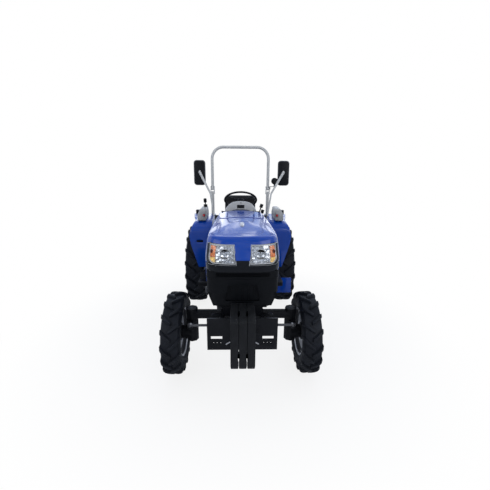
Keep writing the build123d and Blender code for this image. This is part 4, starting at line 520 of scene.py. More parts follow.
by_slot = {
    "tyre_rubber": tyre_rubber, "silver_paint": silver_paint, "dark_casting": dark_casting,
    "bright_steel": bright_steel, "black_paint": black_paint, "weight_iron": weight_iron,
    "engine_iron": engine_iron, "black_plastic": black_plastic, "dark_gloss_plastic": frame_plastic,
    "blue_paint": blue_paint, "grey_plastic": grey_plastic, "seat_vinyl": seat_vinyl,
    "light_grey_paint": light_grey_paint, "lamp_reflector": silver_paint, "amber_lens": silver_paint,
}
slot_of = {part["node"]: part["material_slot"] for part in frame["record"]["subparts"]}
for node, cad_object in frame["nodes"].items():
    dress(cad_object, by_slot[slot_of[node]])
print("finishes:", len(by_slot))

# %% [markdown]
# Many rigid nodes already have the right shape and only lack broken edges. A copy of the node
# is merged, its flat triangles are dissolved into whole faces, and a bevel rounds its edges.
# The copy stands for the node, which stays hidden for collision.


# %% Rounded copies of rigid nodes
def rounded_copy(node, width, look=None):
    """A softened copy of a rigid node, mounted in its place."""
    piece = another(frame["nodes"][node], node + "_shape")
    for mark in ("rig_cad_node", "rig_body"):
        if mark in piece:
            del piece[mark]
    piece.parent = None
    bpy.ops.mesh.customdata_custom_splitnormals_clear()
    edit(piece)
    choose_all()
    bpy.ops.mesh.remove_doubles(threshold=0.04 * MM)
    bpy.ops.mesh.dissolve_limited(angle_limit=radians(1.5))
    leave()
    soften(piece, width, angle=34, smooth_angle=44)
    dress(piece, look or by_slot[slot_of[node]])
    return mount_on(piece, body_of_node[node], slot_of[node], node)


bodies = frame["record"]["behaviour"]["bodies"]
body_of_node = {node: body for body, nodes in bodies.items() for node in nodes}
for node, width in (
    ("knuckle_left", 3), ("knuckle_right", 3), ("front_axle", 4), ("front_frame", 3),
    ("weight_bracket", 1.5), ("engine", 4), ("transmission", 6), ("rear_axle", 4), ("hitch_mounts", 2),
    ("pto_shaft", 1), ("lower_links", 3), ("lift_arms", 3), ("lift_rods", 1.5), ("top_link", 1.5),
    ("firewall", 2), ("seat_base", 3), ("controls", 3), ("rops_posts", 4), ("fixed_lamps", 3),
    ("consoles", 12), ("radiator_and_battery", 3),
):
    rounded_copy(node, width)
rounded_copy("tie_rod", 1.5, dull_steel)

# %% [markdown]
# A bar-lug tyre is a smooth carcass with slanted bars on it. The carcass is one section turned
# about the axle: bead, a low rim rib, bulging sidewall, shoulder and a nearly flat crown. A lug
# starts as a box, is cut into columns across the tread, and the columns are moved back and down
# so the bar sweeps and falls over the shoulder. One pair of lugs is copied round the wheel.


# %% Tyres
LUG_BEVEL_SHARE = 0.11
LUG_ROOT = 12
LUG_COLUMNS = (
    # share of the half width, sweep share, drop, widening
    (-0.12, 0.0, 1.5, 0.8), (0.22, 0.3, 0.0, 0.86), (0.5, 0.56, 0.5, 0.94), (0.75, 0.8, 4.0, 1.04),
    (0.9, 0.93, 11.0, 1.12), (1.0, 1.0, 28.0, 1.16),
)


def carcass(name, centre, bead, shoulder, crown, bead_half, half, crown_half):
    wall, brow = shoulder - bead, crown - shoulder
    side = [
        (bead_half, bead), (bead_half + 8, bead + 3), (bead_half + 11, bead + 14), (bead_half + 9, bead + 21),
        (half * 0.93, bead + 0.45 * wall), (half * 0.99, bead + 0.8 * wall), (half, shoulder),
        (half * 0.98, shoulder + 0.3 * brow), (half * 0.92, shoulder + 0.62 * brow),
        (crown_half, crown - 5), (crown_half * 0.6, crown - 1),
    ]
    rings = [(-x, r) for x, r in side] + [(0, crown)] + [(x, r) for x, r in reversed(side)]
    return smooth(turned(name, centre, rings, sides=112), 35)


def lug(centre, radius, crown, half, thick, sweep):
    """One bar on the left half of the tread, lying at the tyre's top."""
    columns = [row[0] * half for row in LUG_COLUMNS]
    piece = box("lug", (columns[0], -thick / 2, crown - LUG_ROOT), (half, thick / 2, radius))
    edit(piece)
    for cut_at in columns[1:-1]:
        slice_at(X, cut_at)
    for x, (_, share, drop, widen) in zip(columns, LUG_COLUMNS):
        back = (share ** 1.12 - 0.5) * sweep
        fall = back * back / (2 * radius)
        foot = crown - 8 - fall
        choose(piece, lambda co, n: abs(co.x - x) < 0.5, "VERT")
        scale_about((x, 0, 0), y=widen)
        move(y=back, z=-fall)
        choose(piece, lambda co, n: abs(co.x - x) < 0.5 and co.z > foot, "VERT")
        scale_about((x, back, 0), y=0.78)
        move(z=-drop)
        choose(piece, lambda co, n: abs(co.x - x) < 0.5 and co.z < foot, "VERT")
        move(z=-(drop * 2.3 if share > 0.9 else drop))
    leave()
    face_outwards(piece)
    take(soften(piece, thick * LUG_BEVEL_SHARE, angle=25, smooth_angle=50))
    bpy.ops.transform.translate(value=[c * MM for c in centre])
    bpy.ops.object.transform_apply(location=True)
    return piece


def turned_copy(piece, name, centre, angle):
    copied = another(piece, name)
    bpy.ops.transform.rotate(value=angle, orient_axis="X", center_override=[c * MM for c in centre])
    bpy.ops.object.transform_apply(location=True, rotation=True)
    return copied


def tyre(name, centre, count, radius, bead, shoulder, crown, bead_half, half, crown_half, thick, sweep):
    body = carcass(name, centre, bead, shoulder, crown, bead_half, half, crown_half)
    first = lug(centre, radius, crown, half, thick, sweep)
    second = another(first, "lug_far")
    bpy.ops.transform.mirror(constraint_axis=(True, False, False), center_override=[c * MM for c in centre])
    bpy.ops.object.transform_apply(location=True, rotation=True, scale=True)
    turn_out(second)
    far = turned_copy(second, "lug_far_set", centre, pi / count)
    bpy.data.objects.remove(second)
    bars = [first, far]
    for step in range(1, count):
        bars.append(turned_copy(first, "lug_near", centre, step * 2 * pi / count))
        bars.append(turned_copy(far, "lug_far", centre, step * 2 * pi / count))
    return dress(join(name, [body] + bars), tyre_rubber)


front_hub = (592, -820, 365)
rear_hub = (582, 780, 525)
front_left = tyre("front_left_tread", front_hub, count=16, radius=365, bead=203, shoulder=291, crown=341,
                  bead_half=56, half=82.5, crown_half=66, thick=39, sweep=72)
rear_left = tyre("rear_left_tread", rear_hub, count=18, radius=525, bead=305, shoulder=425, crown=493,
                 bead_half=95, half=120, crown_half=96, thick=46, sweep=112)
front_right = mirrored(front_left, "front_right_tread")
rear_right = mirrored(rear_left, "rear_right_tread")
for corner, tread in (("front_left", front_left), ("front_right", front_right), ("rear_left", rear_left),
                      ("rear_right", rear_right)):
    mount_on(tread, corner + "_wheel", "tyre_rubber", corner + "_tyre")

# %% [markdown]
# A pressed rim is a rolled ring with a drop centre and curled lips, and a dished disc welded
# into it. Both are sections turned about the axle. Round hand holes are cut through the disc,
# a hub stands in the middle, and a ring of nuts holds the disc to its flange.


# %% Wheel rims
def rim(name, centre, bead, half, disc_back, disc_front, flange_back, flange, spindle, spindle_back,
        nuts, holes):
    outer = [(0, 14), (7, 4), (12, -0.3), (34, -3), (46, -15)]
    inner = [(1, 8), (7, -4), (32, -8), (43, -20)]
    ring = turned(name, centre, (
        [(-half + x, bead + r) for x, r in outer] + [(half - x, bead + r) for x, r in reversed(outer)]
        + [(half - x, bead + r) for x, r in inner] + [(-half + x, bead + r) for x, r in reversed(inner)]
    ))
    deep = disc_back - 6
    swell, waist = flange * 1.25, bead * 0.84
    disc = turned(name + "_disc", centre, [
        (disc_front, 8), (disc_front, flange * 1.06), (disc_front + 6, swell), (disc_front + 10, bead * 0.72),
        (disc_front + 4, waist), (deep + 4, bead - 18), (deep - 2, bead - 18), (disc_back + 2, bead * 0.82),
        (disc_back + 8, bead * 0.72), (disc_back + 5, swell), (disc_back, flange * 1.02), (disc_back, 8),
    ])
    around = (swell + waist) / 2 * 1.04
    hole = (waist - swell) * 0.24
    for step in range(holes):
        angle = step * 2 * pi / holes
        spot = Vector(centre) + Vector((0, cos(angle) * around, sin(angle) * around))
        ends = [spot + Vector((at, 0, 0)) for at in (disc_back - 20, disc_front + 30)]
        cut(disc, bar("hole", *ends, hole, 24))
    hub = turned(name + "_hub", centre, [
        (disc_front - 2, flange * 0.56), (disc_front + 12, flange * 0.53), (disc_front + 16, flange * 0.48),
        (disc_front + 18, flange * 0.3), (disc_front + 19, 3), (disc_front - 3, 3),
    ], sides=48)
    pieces = [ring, disc, hub]
    bolt_circle = flange * 0.8
    for step in range(nuts):
        angle = (step + 0.5) * 2 * pi / nuts
        spot = Vector(centre) + Vector((disc_front - 1, cos(angle) * bolt_circle, sin(angle) * bolt_circle))
        pieces.append(bar("nut", spot, spot + Vector((9, 0, 0)), 11, 6))
        pieces.append(bar("stud", spot + Vector((8, 0, 0)), spot + Vector((15, 0, 0)), 6, 16))
    pieces.append(turned(name + "_flange", centre, [
        (disc_back, 4), (disc_back, flange), (flange_back + 4, flange), (flange_back, flange - 5),
        (flange_back, spindle), (spindle_back, spindle), (spindle_back, 4),
    ], sides=64))
    whole = dress(soften(join(name, pieces), 1.2, segments=1, smooth_angle=38), silver_paint)
    # The inside of the barrel and the back of the disc get the near-black finish: painted shade, as that side
    # of the silver rim lies in the wheel's shadow.
    back_of_disc = centre[0] + disc_back - 1
    dress_chosen(whole, rim_inside, lambda co, n: (
        co.x < back_of_disc and (co.yz - Vector(centre).yz).length < bead - 1 and n.x < 0.95))
    return whole


front_rim = rim("front_left_dish", front_hub, bead=203, half=68.3, disc_back=-31.7, disc_front=-23.7,
                flange_back=-45.7, flange=78, spindle=22, spindle_back=-105.7, nuts=6, holes=6)
rear_rim = rim("rear_left_dish", rear_hub, bead=305, half=107.3, disc_back=-40, disc_front=-32,
               flange_back=-58, flange=100, spindle=32, spindle_back=-227.7, nuts=8, holes=6)
for axle, left_rim in (("front", front_rim), ("rear", rear_rim)):
    right_rim = mirrored(left_rim, axle + "_right_dish")
    mount_on(right_rim, axle + "_right_wheel", "silver_paint", axle + "_right_rim")
    mount_on(left_rim, axle + "_left_wheel", "silver_paint", axle + "_left_rim")

# %% [markdown]
# The bonnet is one pressed shell. Its left half is drawn as rows of points from the skirt up to
# the shoulder crease and on to the middle of the crown, each row joined to the last with a
# bridge. A mirror gives the other half, a wall thickness closes it, and booleans cut the lamp
# windows and the open front below them.

# %% Bonnet
nose_plan = [
    (262, 80), (274, -220), (285, -500), (285, -800), (285, -1020), (284, -1110), (279, -1160), (267, -1203),
    (247, -1237), (222, -1257), (190, -1272), (150, -1281), (100, -1285), (50, -1287), (0, -1287),
]
nose_tip, hinge = -1287, 80
lean_start, crown_start = -900, -300
shoulder_z, shoulder_share, shoulder_shift = 1350, 0.898, 52
crown_rise, crown_shift = 28, 640
waist_z, fall_to_hinge = 1209, 12


def share_between(y, start):
    """How far a point lies on the way from a start to the tip of the nose, from 0 to 1."""
    return min(1.0, max(0.0, (y - start) / (nose_tip - start)))


def front_share(y):
    return share_between(y, lean_start)


def hinge_drop(y):
    """The top falls a little towards the hinge."""
    return fall_to_hinge * (y - nose_tip) / (hinge - nose_tip)


def shell_row(z, ratio, front_shift):
    """One level of the shell's side, from the firewall round to the middle of the nose."""
    above_waist = z > waist_z
    return [
        (x * ratio, y + front_shift * front_share(y), z - hinge_drop(y) * above_waist) for x, y in nose_plan
    ]


def crown_row(share):
    """One line on the top, nested inside the shoulder crease."""
    top = shoulder_z + crown_rise * (1 - share ** 2)
    shift = shoulder_shift + crown_shift * (1 - share)
    return [
        (x * shoulder_share * share, y + shift * share_between(y, crown_start), top - hinge_drop(y))
        for x, y in nose_plan
    ]


shell_rows = [shell_row(*level) for level in (
    (975, 0.985, 0), (1060, 0.998, 0), (1150, 1.0, 0), (1205, 0.998, 4), (1213, 0.988, 8), (1262, 0.972, 15),
    (1305, 0.952, 27), (1334, 0.925, 41), (1347, 0.905, 50),
)]
crown_rows = [crown_row(share) for share in (0.985, 0.94, 0.86, 0.74, 0.6, 0.45, 0.3, 0.15, 0.0)]


def skin(name, rows):
    """Surface through rows of points, each row bridged to the one before it."""
    piece = chain(name, rows[0])
    count = len(rows[0])
    for number, row in enumerate(rows[1:]):
        bpy.ops.mesh.select_all(action="DESELECT")
        bpy.ops.mesh.primitive_plane_add(size=MM)
        bpy.ops.mesh.merge(type="CENTER")
        form = bmesh.from_edit_mesh(piece.data)
        move(*(Vector(row[0]) - form.verts[:][-1].co / MM))
        draw_on(row)
        form = bmesh.from_edit_mesh(piece.data)
        form.verts.ensure_lookup_table()
        bpy.ops.mesh.select_all(action="DESELECT")
        first = number * count
        for index in range(first, first + 2 * count):
            form.verts[index].select_set(True)
        form.select_flush(True)
        for edge in form.edges:
            if edge.link_faces:
                low, high = sorted(point.index for point in edge.verts)
                edge.select_set(low >= first and high - low != count)
        bmesh.update_edit_mesh(piece.data)
        bpy.ops.mesh.select_mode(type="EDGE")
        bpy.ops.mesh.bridge_edge_loops()
        bpy.ops.mesh.select_mode(type="VERT")
    leave()
    return piece


def with_far_half(name, half):
    """A half and its mirror as one piece, welded along the middle."""
    whole = join(name, [half, mirrored(half, name + "_far")])
    face_outwards(whole, SEAM)
    return whole


shell = with_far_half("bonnet_shell", skin("bonnet_half", shell_rows + crown_rows))
subdivide_surface(shell, 1)
print("shell verts", len(shell.data.vertices), "faces", len(shell.data.polygons))

# %% [markdown]
# The crown carries a raised line like a shallow U and two small raised marks at its edges. The line
# and the marks are dressed a darker blue, painted shade: on the line the shade of a groove, on
# the marks the shade of two hollows. A copy of the skin is given a thickness outwards, and the
# part of it above a drawn outline is kept. So the line follows the crown everywhere.


# %% Lines on the bonnet
def on_crown(name, outline, height):
    """Part of the bonnet's skin above an outline, raised by a height."""
    raised = another(shell, name)
    thicken(raised, height + 1.5, 0.0)
    above = drawn(name + "_outline", [(x, y, 1300) for x, y in outline], (0, 0, 120))
    return cut(raised, above, "INTERSECT")


outer_line = [(-238, -235), (-234, -330), (-222, -400), (-196, -450), (-150, -478)]
inner_line = [(-220, -235), (-216, -322), (-204, -382), (-180, -424), (-143, -446)]
u_line = outer_line + on_side(-1, reversed(outer_line)) + on_side(-1, inner_line) + inner_line[::-1]
edge_corner = [(186, -700), (243, -640), (243, -900)]
step_line = on_crown("crown_line", u_line, 4.5)
corners = [on_crown("edge_mark", on_side(side, edge_corner), 1.5) for side in (-1, 1)]
# A darker blue for the crown line and the edge marks: painted shade of a groove and of hollows.
deep_blue = finish("deep_blue", (0.004, 0.018, 0.16), 0.3, spread=0.06, patch=3.0, bump=0.0, shine=0.3)
clear_selection()
bpy.ops.mesh.primitive_uv_sphere_add(
    segments=40, ring_count=20, radius=1, scale=(0.019, 0.085, 0.016), location=(0, -0.86, 1.3725)
)
oval = take(settle("plain_oval"))
bpy.ops.object.shade_smooth()
mount_on(dress(smooth(step_line, 40), deep_blue), "bonnet_set", "blue_paint")
mount_joined("edge_marks", corners, deep_blue, "bonnet_set", "blue_paint")
mount_on(dress(oval, bright_steel), "bonnet_set", "blue_paint")

# %% [markdown]
# Now the skin becomes a sheet with a thickness. The front below the lamps and the two lamp
# windows are cut out of it, and the middle wedge ends above the chin.

# %% Bonnet openings
thicken(shell, 3.5)
cut(shell, box("open_front", (-300, -1300, 960), (300, -1137, 1150)))
lamp_window = [(46, 1140), (62, 1296), (252, 1306), (300, 1306), (300, 1140)]
for side in (1, -1):
    cut(shell, prism("window", on_side(side, lamp_window), -1300, -1190))
cut(shell, box("below_wedge", (-80, -1300, 1140), (80, -1200, 1187)))
mount_on(dress(smooth(shell, 28), blue_paint), "bonnet_set", "blue_paint", "bonnet")

# %% [markdown]
# The chin, the grille, the lamp frames and the lamps all follow the curve of the nose. They are
# drawn flat, with the distance round the nose in place of X and the depth behind the skin in
# place of Y. Then every corner is carried to its place on the curve, as a sheet is wrapped.

# %% The nose curve
nose_points = [Vector((x, y)) for x, y in reversed(nose_plan)]
levels = [
    (975, 0.985, 0), (1150, 1.0, 0), (1205, 0.998, 4), (1213, 0.988, 8), (1262, 0.972, 15),
    (1305, 0.952, 27), (1350, 0.9, 52),
]


def nose_at(around, z, depth):
    """Place on the nose at a distance round from its middle, behind the skin by a depth."""
    side = -1 if around < 0 else 1
    left = abs(around)
    for first, after in zip(nose_points, nose_points[1:]):
        step = after - first
        if left <= step.length or after == nose_points[-1]:
            break
        left -= step.length
    spot = first + step * (left / step.length)
    inward = Vector((-step.y, step.x)).normalized()
    if inward.y < 0 and abs(step.x) > abs(step.y):
        inward.negate()
    if inward.x > 0 and abs(step.y) >= abs(step.x):
        inward.negate()
    spot = spot + inward * depth
    for (low, low_ratio, low_shift), (high, high_ratio, high_shift) in zip(levels, levels[1:]):
        if z <= high:
            break
    share = min(1.0, max(0.0, (z - low) / (high - low)))
    ratio = low_ratio + (high_ratio - low_ratio) * share
    shift = low_shift + (high_shift - low_shift) * share
    return Vector((side * spot.x * ratio, spot.y + shift * front_share(spot.y), z))


def lay_on_nose(piece, spacing=18):
    """Cuts a flat piece into columns and wraps it round the nose, corner by corner."""
    edit(piece)
    spread_x = [point.co.x / MM for point in piece.data.vertices]
    at = min(spread_x) + spacing
    while at < max(spread_x) - 2:
        slice_at(X, at)
        at += spacing
    form = bmesh.from_edit_mesh(piece.data)
    choose_none("VERT")
    places = [point.co / MM for point in form.verts]
    for index, place in enumerate(places):
        form.verts.ensure_lookup_table()
        form.verts[index].select_set(True)
        move(*(nose_at(place.x, place.z, place.y) - place))
        form.verts[index].select_set(False)
    leave()
    turn_out(piece)
    return piece


# %% [markdown]
# Each lamp sits in a dark frame with a window. The lens has an upright inner edge that leans
# with the blue wedge and a rounded outer lower corner. The silver lip, the faceted reflector
# with its bowl, the clear lens and the amber end are separate pieces, one behind another.

# %% Lamps
lens_outline = [(58, 1163), (72, 1288), (262, 1288), (262, 1204), (257, 1186), (246, 1172), (228, 1164)]
frame_outline = [
    (45, 1150.5), (61, 1299.5), (309, 1299.5), (309, 1190), (303, 1170), (288, 1156), (262, 1150.5),
]
amber_outline = [(211, 1203), (211, 1286), (259, 1286), (259, 1203)]
yellow_outline = [(211, 1166), (211, 1201), (259, 1201), (254, 1186), (244, 1174), (228, 1166)]


def shrunk(outline, inset):
    """Outline drawn in by about an inset, about its own middle."""
    middle = sum((Vector(p) for p in outline), Vector((0, 0))) / len(outline)
    wide = max(abs(p[0] - middle.x) for p in outline)
    high = max(abs(p[1] - middle.y) for p in outline)
    narrower, lower = 1 - inset / wide, 1 - inset / high
    return [(middle.x + (u - middle.x) * narrower, middle.y + (z - middle.y) * lower) for u, z in outline]


def wrapped_frame(name, side, outline, window, near, far):
    """Plate with a window in it, wrapped round the nose on one side."""
    plate = prism(name, on_side(side, outline), near, far)
    cut(plate, prism("window", on_side(side, window), -20, 60))
    return lay_on_nose(plate, 14)


def wrapped_end(name, side, outline):
    """Coloured end of a lamp with rounded edges."""
    return soften(lay_on_nose(prism(name, on_side(side, outline), 8, 20), 12), 3, 2)


def faceted_dish(side):
    """Reflector cut into small facets, each corner pushed to its own depth."""
    dish = prism("dish", on_side(side, shrunk(lens_outline, -1)), 22, 30)
    edit(dish)
    for number in range(1, 12):
        slice_at(X, side * (50 + 18 * number))
        slice_at(Z, 1155 + 12 * number)
    form = bmesh.from_edit_mesh(dish.data)
    choose_none("VERT")
    for index in range(len(form.verts)):
        form.verts.ensure_lookup_table()
        point = form.verts[index]
        if point.co.y < 0.024:
            point.select_set(True)
            move(y=random.uniform(-7, 4))
            point.select_set(False)
    leave()
    return lay_on_nose(dish, 400)


def y_bar(name, spot, near, far, radius, sides):
    """Round bar along Y about a spot."""
    return bar(name, spot + Vector((0, near, 0)), spot + Vector((0, far, 0)), radius, sides)


lip_metal = finish("lip_metal", (0.42, 0.43, 0.44), 0.3, metal=0.3, spread=0.08, bump=0.02)
reflector = finish("reflector", (0.34, 0.36, 0.39), 0.14, metal=1.0, spread=0.9, patch=75.0, bump=0.03)
amber = finish("amber", (0.5, 0.12, 0.008), 0.2, spread=0.35, patch=40.0, grain=300.0, bump=0.15, coat=0.2,
               shine=0.2)
yellow = finish("yellow", (0.66, 0.4, 0.07), 0.2, spread=0.3, patch=60.0, grain=300.0, bump=0.15, coat=0.3,
                shine=0.3)
bulb_amber = finish("bulb_amber", (0.06, 0.01, 0.003), 0.25, spread=0.2, patch=60.0, bump=0.0, coat=0.2,
                    shine=0.2)
clear = bpy.data.materials.new("clear_lens")
clear.use_nodes = True
glass = clear.node_tree.nodes["Principled BSDF"]
glass.inputs["Base Color"].default_value = (0.92, 0.95, 0.97, 1)
glass.inputs["Roughness"].default_value = 0.03
glass.inputs["Coat Weight"].default_value = 0.25
spot_place = new_node(clear.node_tree, "TexCoord")
streak = new_node(clear.node_tree, "TexNoise", {"Scale": 40.0})
veil = new_node(clear.node_tree, "MapRange", {"To Min": 0.03, "To Max": 0.09})
wire(clear.node_tree, spot_place, "Object", streak, "Vector")
wire(clear.node_tree, streak, "Fac", veil, "Value")
wire(clear.node_tree, veil, "Result", glass, "Alpha")

random.seed(4)
frames, lips, reflectors, lenses, ambers, yellows, bulbs = [], [], [], [], [], [], []
for side in (1, -1):
    frames.append(wrapped_frame(
        "surround", side, shrunk(frame_outline, 2.6), shrunk(lens_outline, -7), 0.4, 30))
    lips.append(wrapped_frame("lip", side, shrunk(lens_outline, -7.5), shrunk(lens_outline, -1.5), 2.5, 14))
    lips.append(wrapped_frame("trim", side, frame_outline, shrunk(frame_outline, 2.4), 0.2, 12))
    reflectors.append(faceted_dish(side))
    spot = nose_at(side * 132, 1228, 6)
    lips.append(cut(y_bar("collar", spot, 1, 12, 38, 40), y_bar("hole", spot, -9, 30, 35, 40)))
    bowl = y_bar("bowl", spot, 2, 22, 34.6, 32)
    edit(bowl)
    choose(bowl, lambda co, n: n.y < -0.9)
    bpy.ops.mesh.inset(thickness=0.004)
    pull(y=14)
    scale_about(spot + Vector((0, 16, 0)), x=0.4, z=0.4)
    leave()
    reflectors += [bowl, soften(y_bar("bulb", spot, 3, 16, 9, 20), 3, 3)]
    lenses.append(lay_on_nose(prism("lens", on_side(side, shrunk(lens_outline, -2)), 3, 6), 12))
    ambers.append(wrapped_end("amber_end", side, amber_outline))
    yellows.append(wrapped_end("yellow_end", side, yellow_outline))
    bulbs.append(soften(y_bar("end_bulb", nose_at(side * 236, 1243, 5), 0, 12, 15, 24), 4, 3))
reflectors = soften(join("lamp_reflectors", reflectors), 0.5, 1, 30, 20)
mount_on(dress(reflectors, reflector), "bonnet_set", "lamp_reflector", "headlamps")
mount_joined("lamp_lenses", lenses, clear, "bonnet_set", "lamp_reflector")
lips = [soften(lip, 1.5, 2) for lip in lips]
mount_joined("lamp_lips", lips, lip_metal, "bonnet_set", "dark_gloss_plastic")
mount_joined("indicator_lenses", ambers, amber, "bonnet_set", "amber_lens", "indicators")
mount_joined("indicator_low_lenses", yellows, yellow, "bonnet_set", "amber_lens")
mount_joined("indicator_bulbs", bulbs, bulb_amber, "bonnet_set", "amber_lens")

chin_outline = [
    (-330, 1098), (330, 1098), (330, 1149.5), (44.5, 1149.5), (44.5, 1186), (-44.5, 1186), (-44.5, 1149.5),
    (-330, 1149.5),
]
chin = lay_on_nose(prism("chin", chin_outline, 0.6, 30), 14)
frames = [soften(piece, 3.5, 3) for piece in frames + [chin]]
mount_joined("lamp_surrounds", frames, frame_plastic, "bonnet_set", "dark_gloss_plastic", "lamp_frames")

# %% [markdown]
# The grille is a moulded tray below the chin. Its front is one curved sheet drawn in rows: a
# dark upper band with slats, a lip across at half height, smooth corners, and a lower edge that
# tapers in. A tall hollow in the middle leads the air to the radiator.

# %% Grille
grille_plan = [
    (270, -1209), (269, -1216), (264, -1228), (252, -1241), (232, -1252), (205, -1260), (165, -1265),
    (110, -1267), (55, -1267), (0, -1267),
]
grille_side_y = -1209
grille_levels = (
    # height, share of the width, distance back
    (1095.6, 1.0, 0), (1088, 1.0, 0), (1062, 0.998, 2), (1052, 1.0, 0), (1046, 1.0, 0), (1038, 0.995, 6),
    (985, 0.99, 7), (940, 0.985, 8), (926, 0.985, 6), (919, 0.97, 9), (880, 0.93, 14), (840, 0.875, 20),
    (812, 0.835, 27), (806, 0.82, 34),
)


def grille_row(z, wide, back):
    return [(x * wide, min(grille_side_y, y + back), z) for x, y in grille_plan]


grille = with_far_half("grille_shape", skin("grille_half", [grille_row(*level) for level in grille_levels]))
thicken(grille, 6)
hollow = [(-128, 862), (128, 862), (108, 990), (-108, 990)]
band = [(-196, 1056), (196, 1056), (196, 1086), (-196, 1086)]
cut(grille, prism("hollow", hollow, -1290, -1230))
cut(grille, prism("band", band, -1290, -1230))
tray = [
    prism("hollow_back", [(x * 1.04, z) for x, z in hollow], -1236, -1232),
    box("band_back", (-204, -1240, 1050), (204, -1236, 1092)),
]
for row in range(3):
    z = 1060 + 8.5 * row
    tray.append(soften(box("slat", (-197, -1262, z), (197, -1240, z + 3.5)), 1.2, 2))
for column in range(5):
    x = -88 + 44 * column
    tray.append(box("bar", (x - 2, -1243, 862), (x + 2, -1237, 991)))
grille_black = finish("grille_black", (0.003, 0.0035, 0.0045), 0.4, patch=6.0, grain=1400.0, bump=0.04,
                      shine=0.08)
grille = soften(grille, 2, 2, 32, 42)
mount_joined("grille_shape", [grille] + tray, grille_black, "chassis", "black_plastic", "grille")

# %% [markdown]
# Suitcase weights are sand castings, rounded all over. The slots between them are where the
# hands go in.

# %% Weights and their plate
weight_side = [
    (-1500, 484), (-1497, 466), (-1488, 453), (-1472, 445.4), (-1300, 445.4), (-1288, 452), (-1282, 466),
    (-1282, 861), (-1302, 861), (-1488, 823), (-1497, 817), (-1500, 806),
]
weight_count, weight_wide, weight_pitch = 3, 57, 58.5
weight_left = -87
seam_x = weight_pitch / 2
front_levels = ((466, 0.97), (453, 0.9), (445.4, 0.74), (823, 0.98), (817, 0.98))
back_levels = ((466, 0.97), (452, 0.9), (445.4, 0.74))
hand_slots = (((-1520, 519), (-1466, 581)), ((-1438, 780), (-1376, 900)))
painted_shadow_spans = (((-1467.6, 522), (-1466.2, 578)), ((-1436, 781), (-1378, 783)))

weights = []
for number in range(weight_count):
    near = weight_left + weight_pitch * number
    plate = drawn("weight", [(near, y, z) for y, z in weight_side], (weight_wide, 0, 0))
    edit(plate)
    for facing, levels_used in ((-1, front_levels), (1, back_levels)):
        for level, narrow in levels_used:
            choose(plate, lambda co, n: abs(co.z - level) < 2.5 and (co.y + 1400) * facing > 0, "VERT")
            scale_about((near + weight_wide / 2, 0, 0), x=narrow)
    leave()
    soften(plate, 3, 3, 40, 40)
    for x in (-seam_x, seam_x):
        if near - 2 < x < near + weight_wide + 2:
            for low, high in hand_slots:
                cut(plate, soften(box("slot", (x - 8, *low), (x + 8, *high)), 6, 3))
    weights.append(plate)
# Near-black boxes on the floors of the hand slots: painted shade inside the slots.
void_black = finish("void_black", (0.0008, 0.0008, 0.001), 0.8, spread=0.1, bump=0.0, shine=0.02)
shadows = [
    box("slot_floor", (x - 7.8, *low), (x + 7.8, *high))
    for low, high in painted_shadow_spans for x in (-seam_x, seam_x)
]
mount_joined("slot_shadows", shadows, void_black, "chassis", "weight_iron")
weights = smooth(join("weights_cast", weights), 35)
mount_on(dress(weights, weight_iron), "chassis", "weight_iron", "front_weights")
links = []
for side in (-1, 1):
    for number in range(4):
        x, z = side * (97 + 8 * number), 540 - 5 * number
        links.append(bar("chain_link", (x, -1283, z), (x, -1290, z), 5.5, 12))
links = soften(join("plate_bolts", links), 1, 2)
mount_on(dress(links, bright_steel), "chassis", "bright_steel")

# %% [markdown]
# The steering wheel is a thin foam-covered ring on three flat spokes. The ring is a torus
# turned to the column's tilt, the spokes are straight bars, and the boss has a round cap.

# %% Steering wheel
tilt = radians(35)
wheel_centre = Vector((0, 307, 1457))
column_up = Vector((0, sin(tilt), cos(tilt)))
column_side = Vector((0, -cos(tilt), sin(tilt)))


def on_column(name, low, high, radius, sides):
    """Round bar along the steering column, between two heights from the wheel's middle."""
    return bar(name, wheel_centre + column_up * low, wheel_centre + column_up * high, radius, sides)


clear_selection()
bpy.ops.mesh.primitive_torus_add(
    major_segments=96, minor_segments=16, major_radius=0.1885, minor_radius=0.0112,
    location=wheel_centre * MM, rotation=(-tilt, 0, 0)
)
wheel_parts = [settle("steering_ring")]
for number in range(3):
    angle = pi / 2 + number * 2 * pi / 3
    out = Vector((cos(angle), 0, 0)) - column_side * sin(angle)
    wheel_parts.append(bar("spoke", wheel_centre + out * 20 - column_up * 5, wheel_centre + out * 182, 6, 12))
wheel_parts.append(soften(on_column("boss", -20, 13, 33, 40), 8, 4))
wheel_parts.append(on_column("stem", -66, -18, 11, 20))
wheel = smooth(join("steering_wheel_shape", wheel_parts), 50)
mount_on(dress(wheel, black_plastic), "steering_hand_wheel", "black_plastic", "steering_wheel")

# %% [markdown]
# The roll hoop is one bent tube. It starts as a circle at the left foot, is drawn up, swung
# round the corner's centre, drawn across and swung down again. Each foot has an eye.

# %% Roll hoop
tube_radius, bend_radius = 19, 150
post_x, hoop_y, fold_z, bend_z = 374, 827, 1560, 1950
bend_x = post_x - bend_radius


def bend(x):
    """Swings the tube's end a quarter turn over, round a corner's centre."""
    centre = (x * MM, hoop_y * MM, bend_z * MM)
    bpy.ops.mesh.spin(steps=16, angle=pi / 2, center=centre, axis=(0, 1, 0))


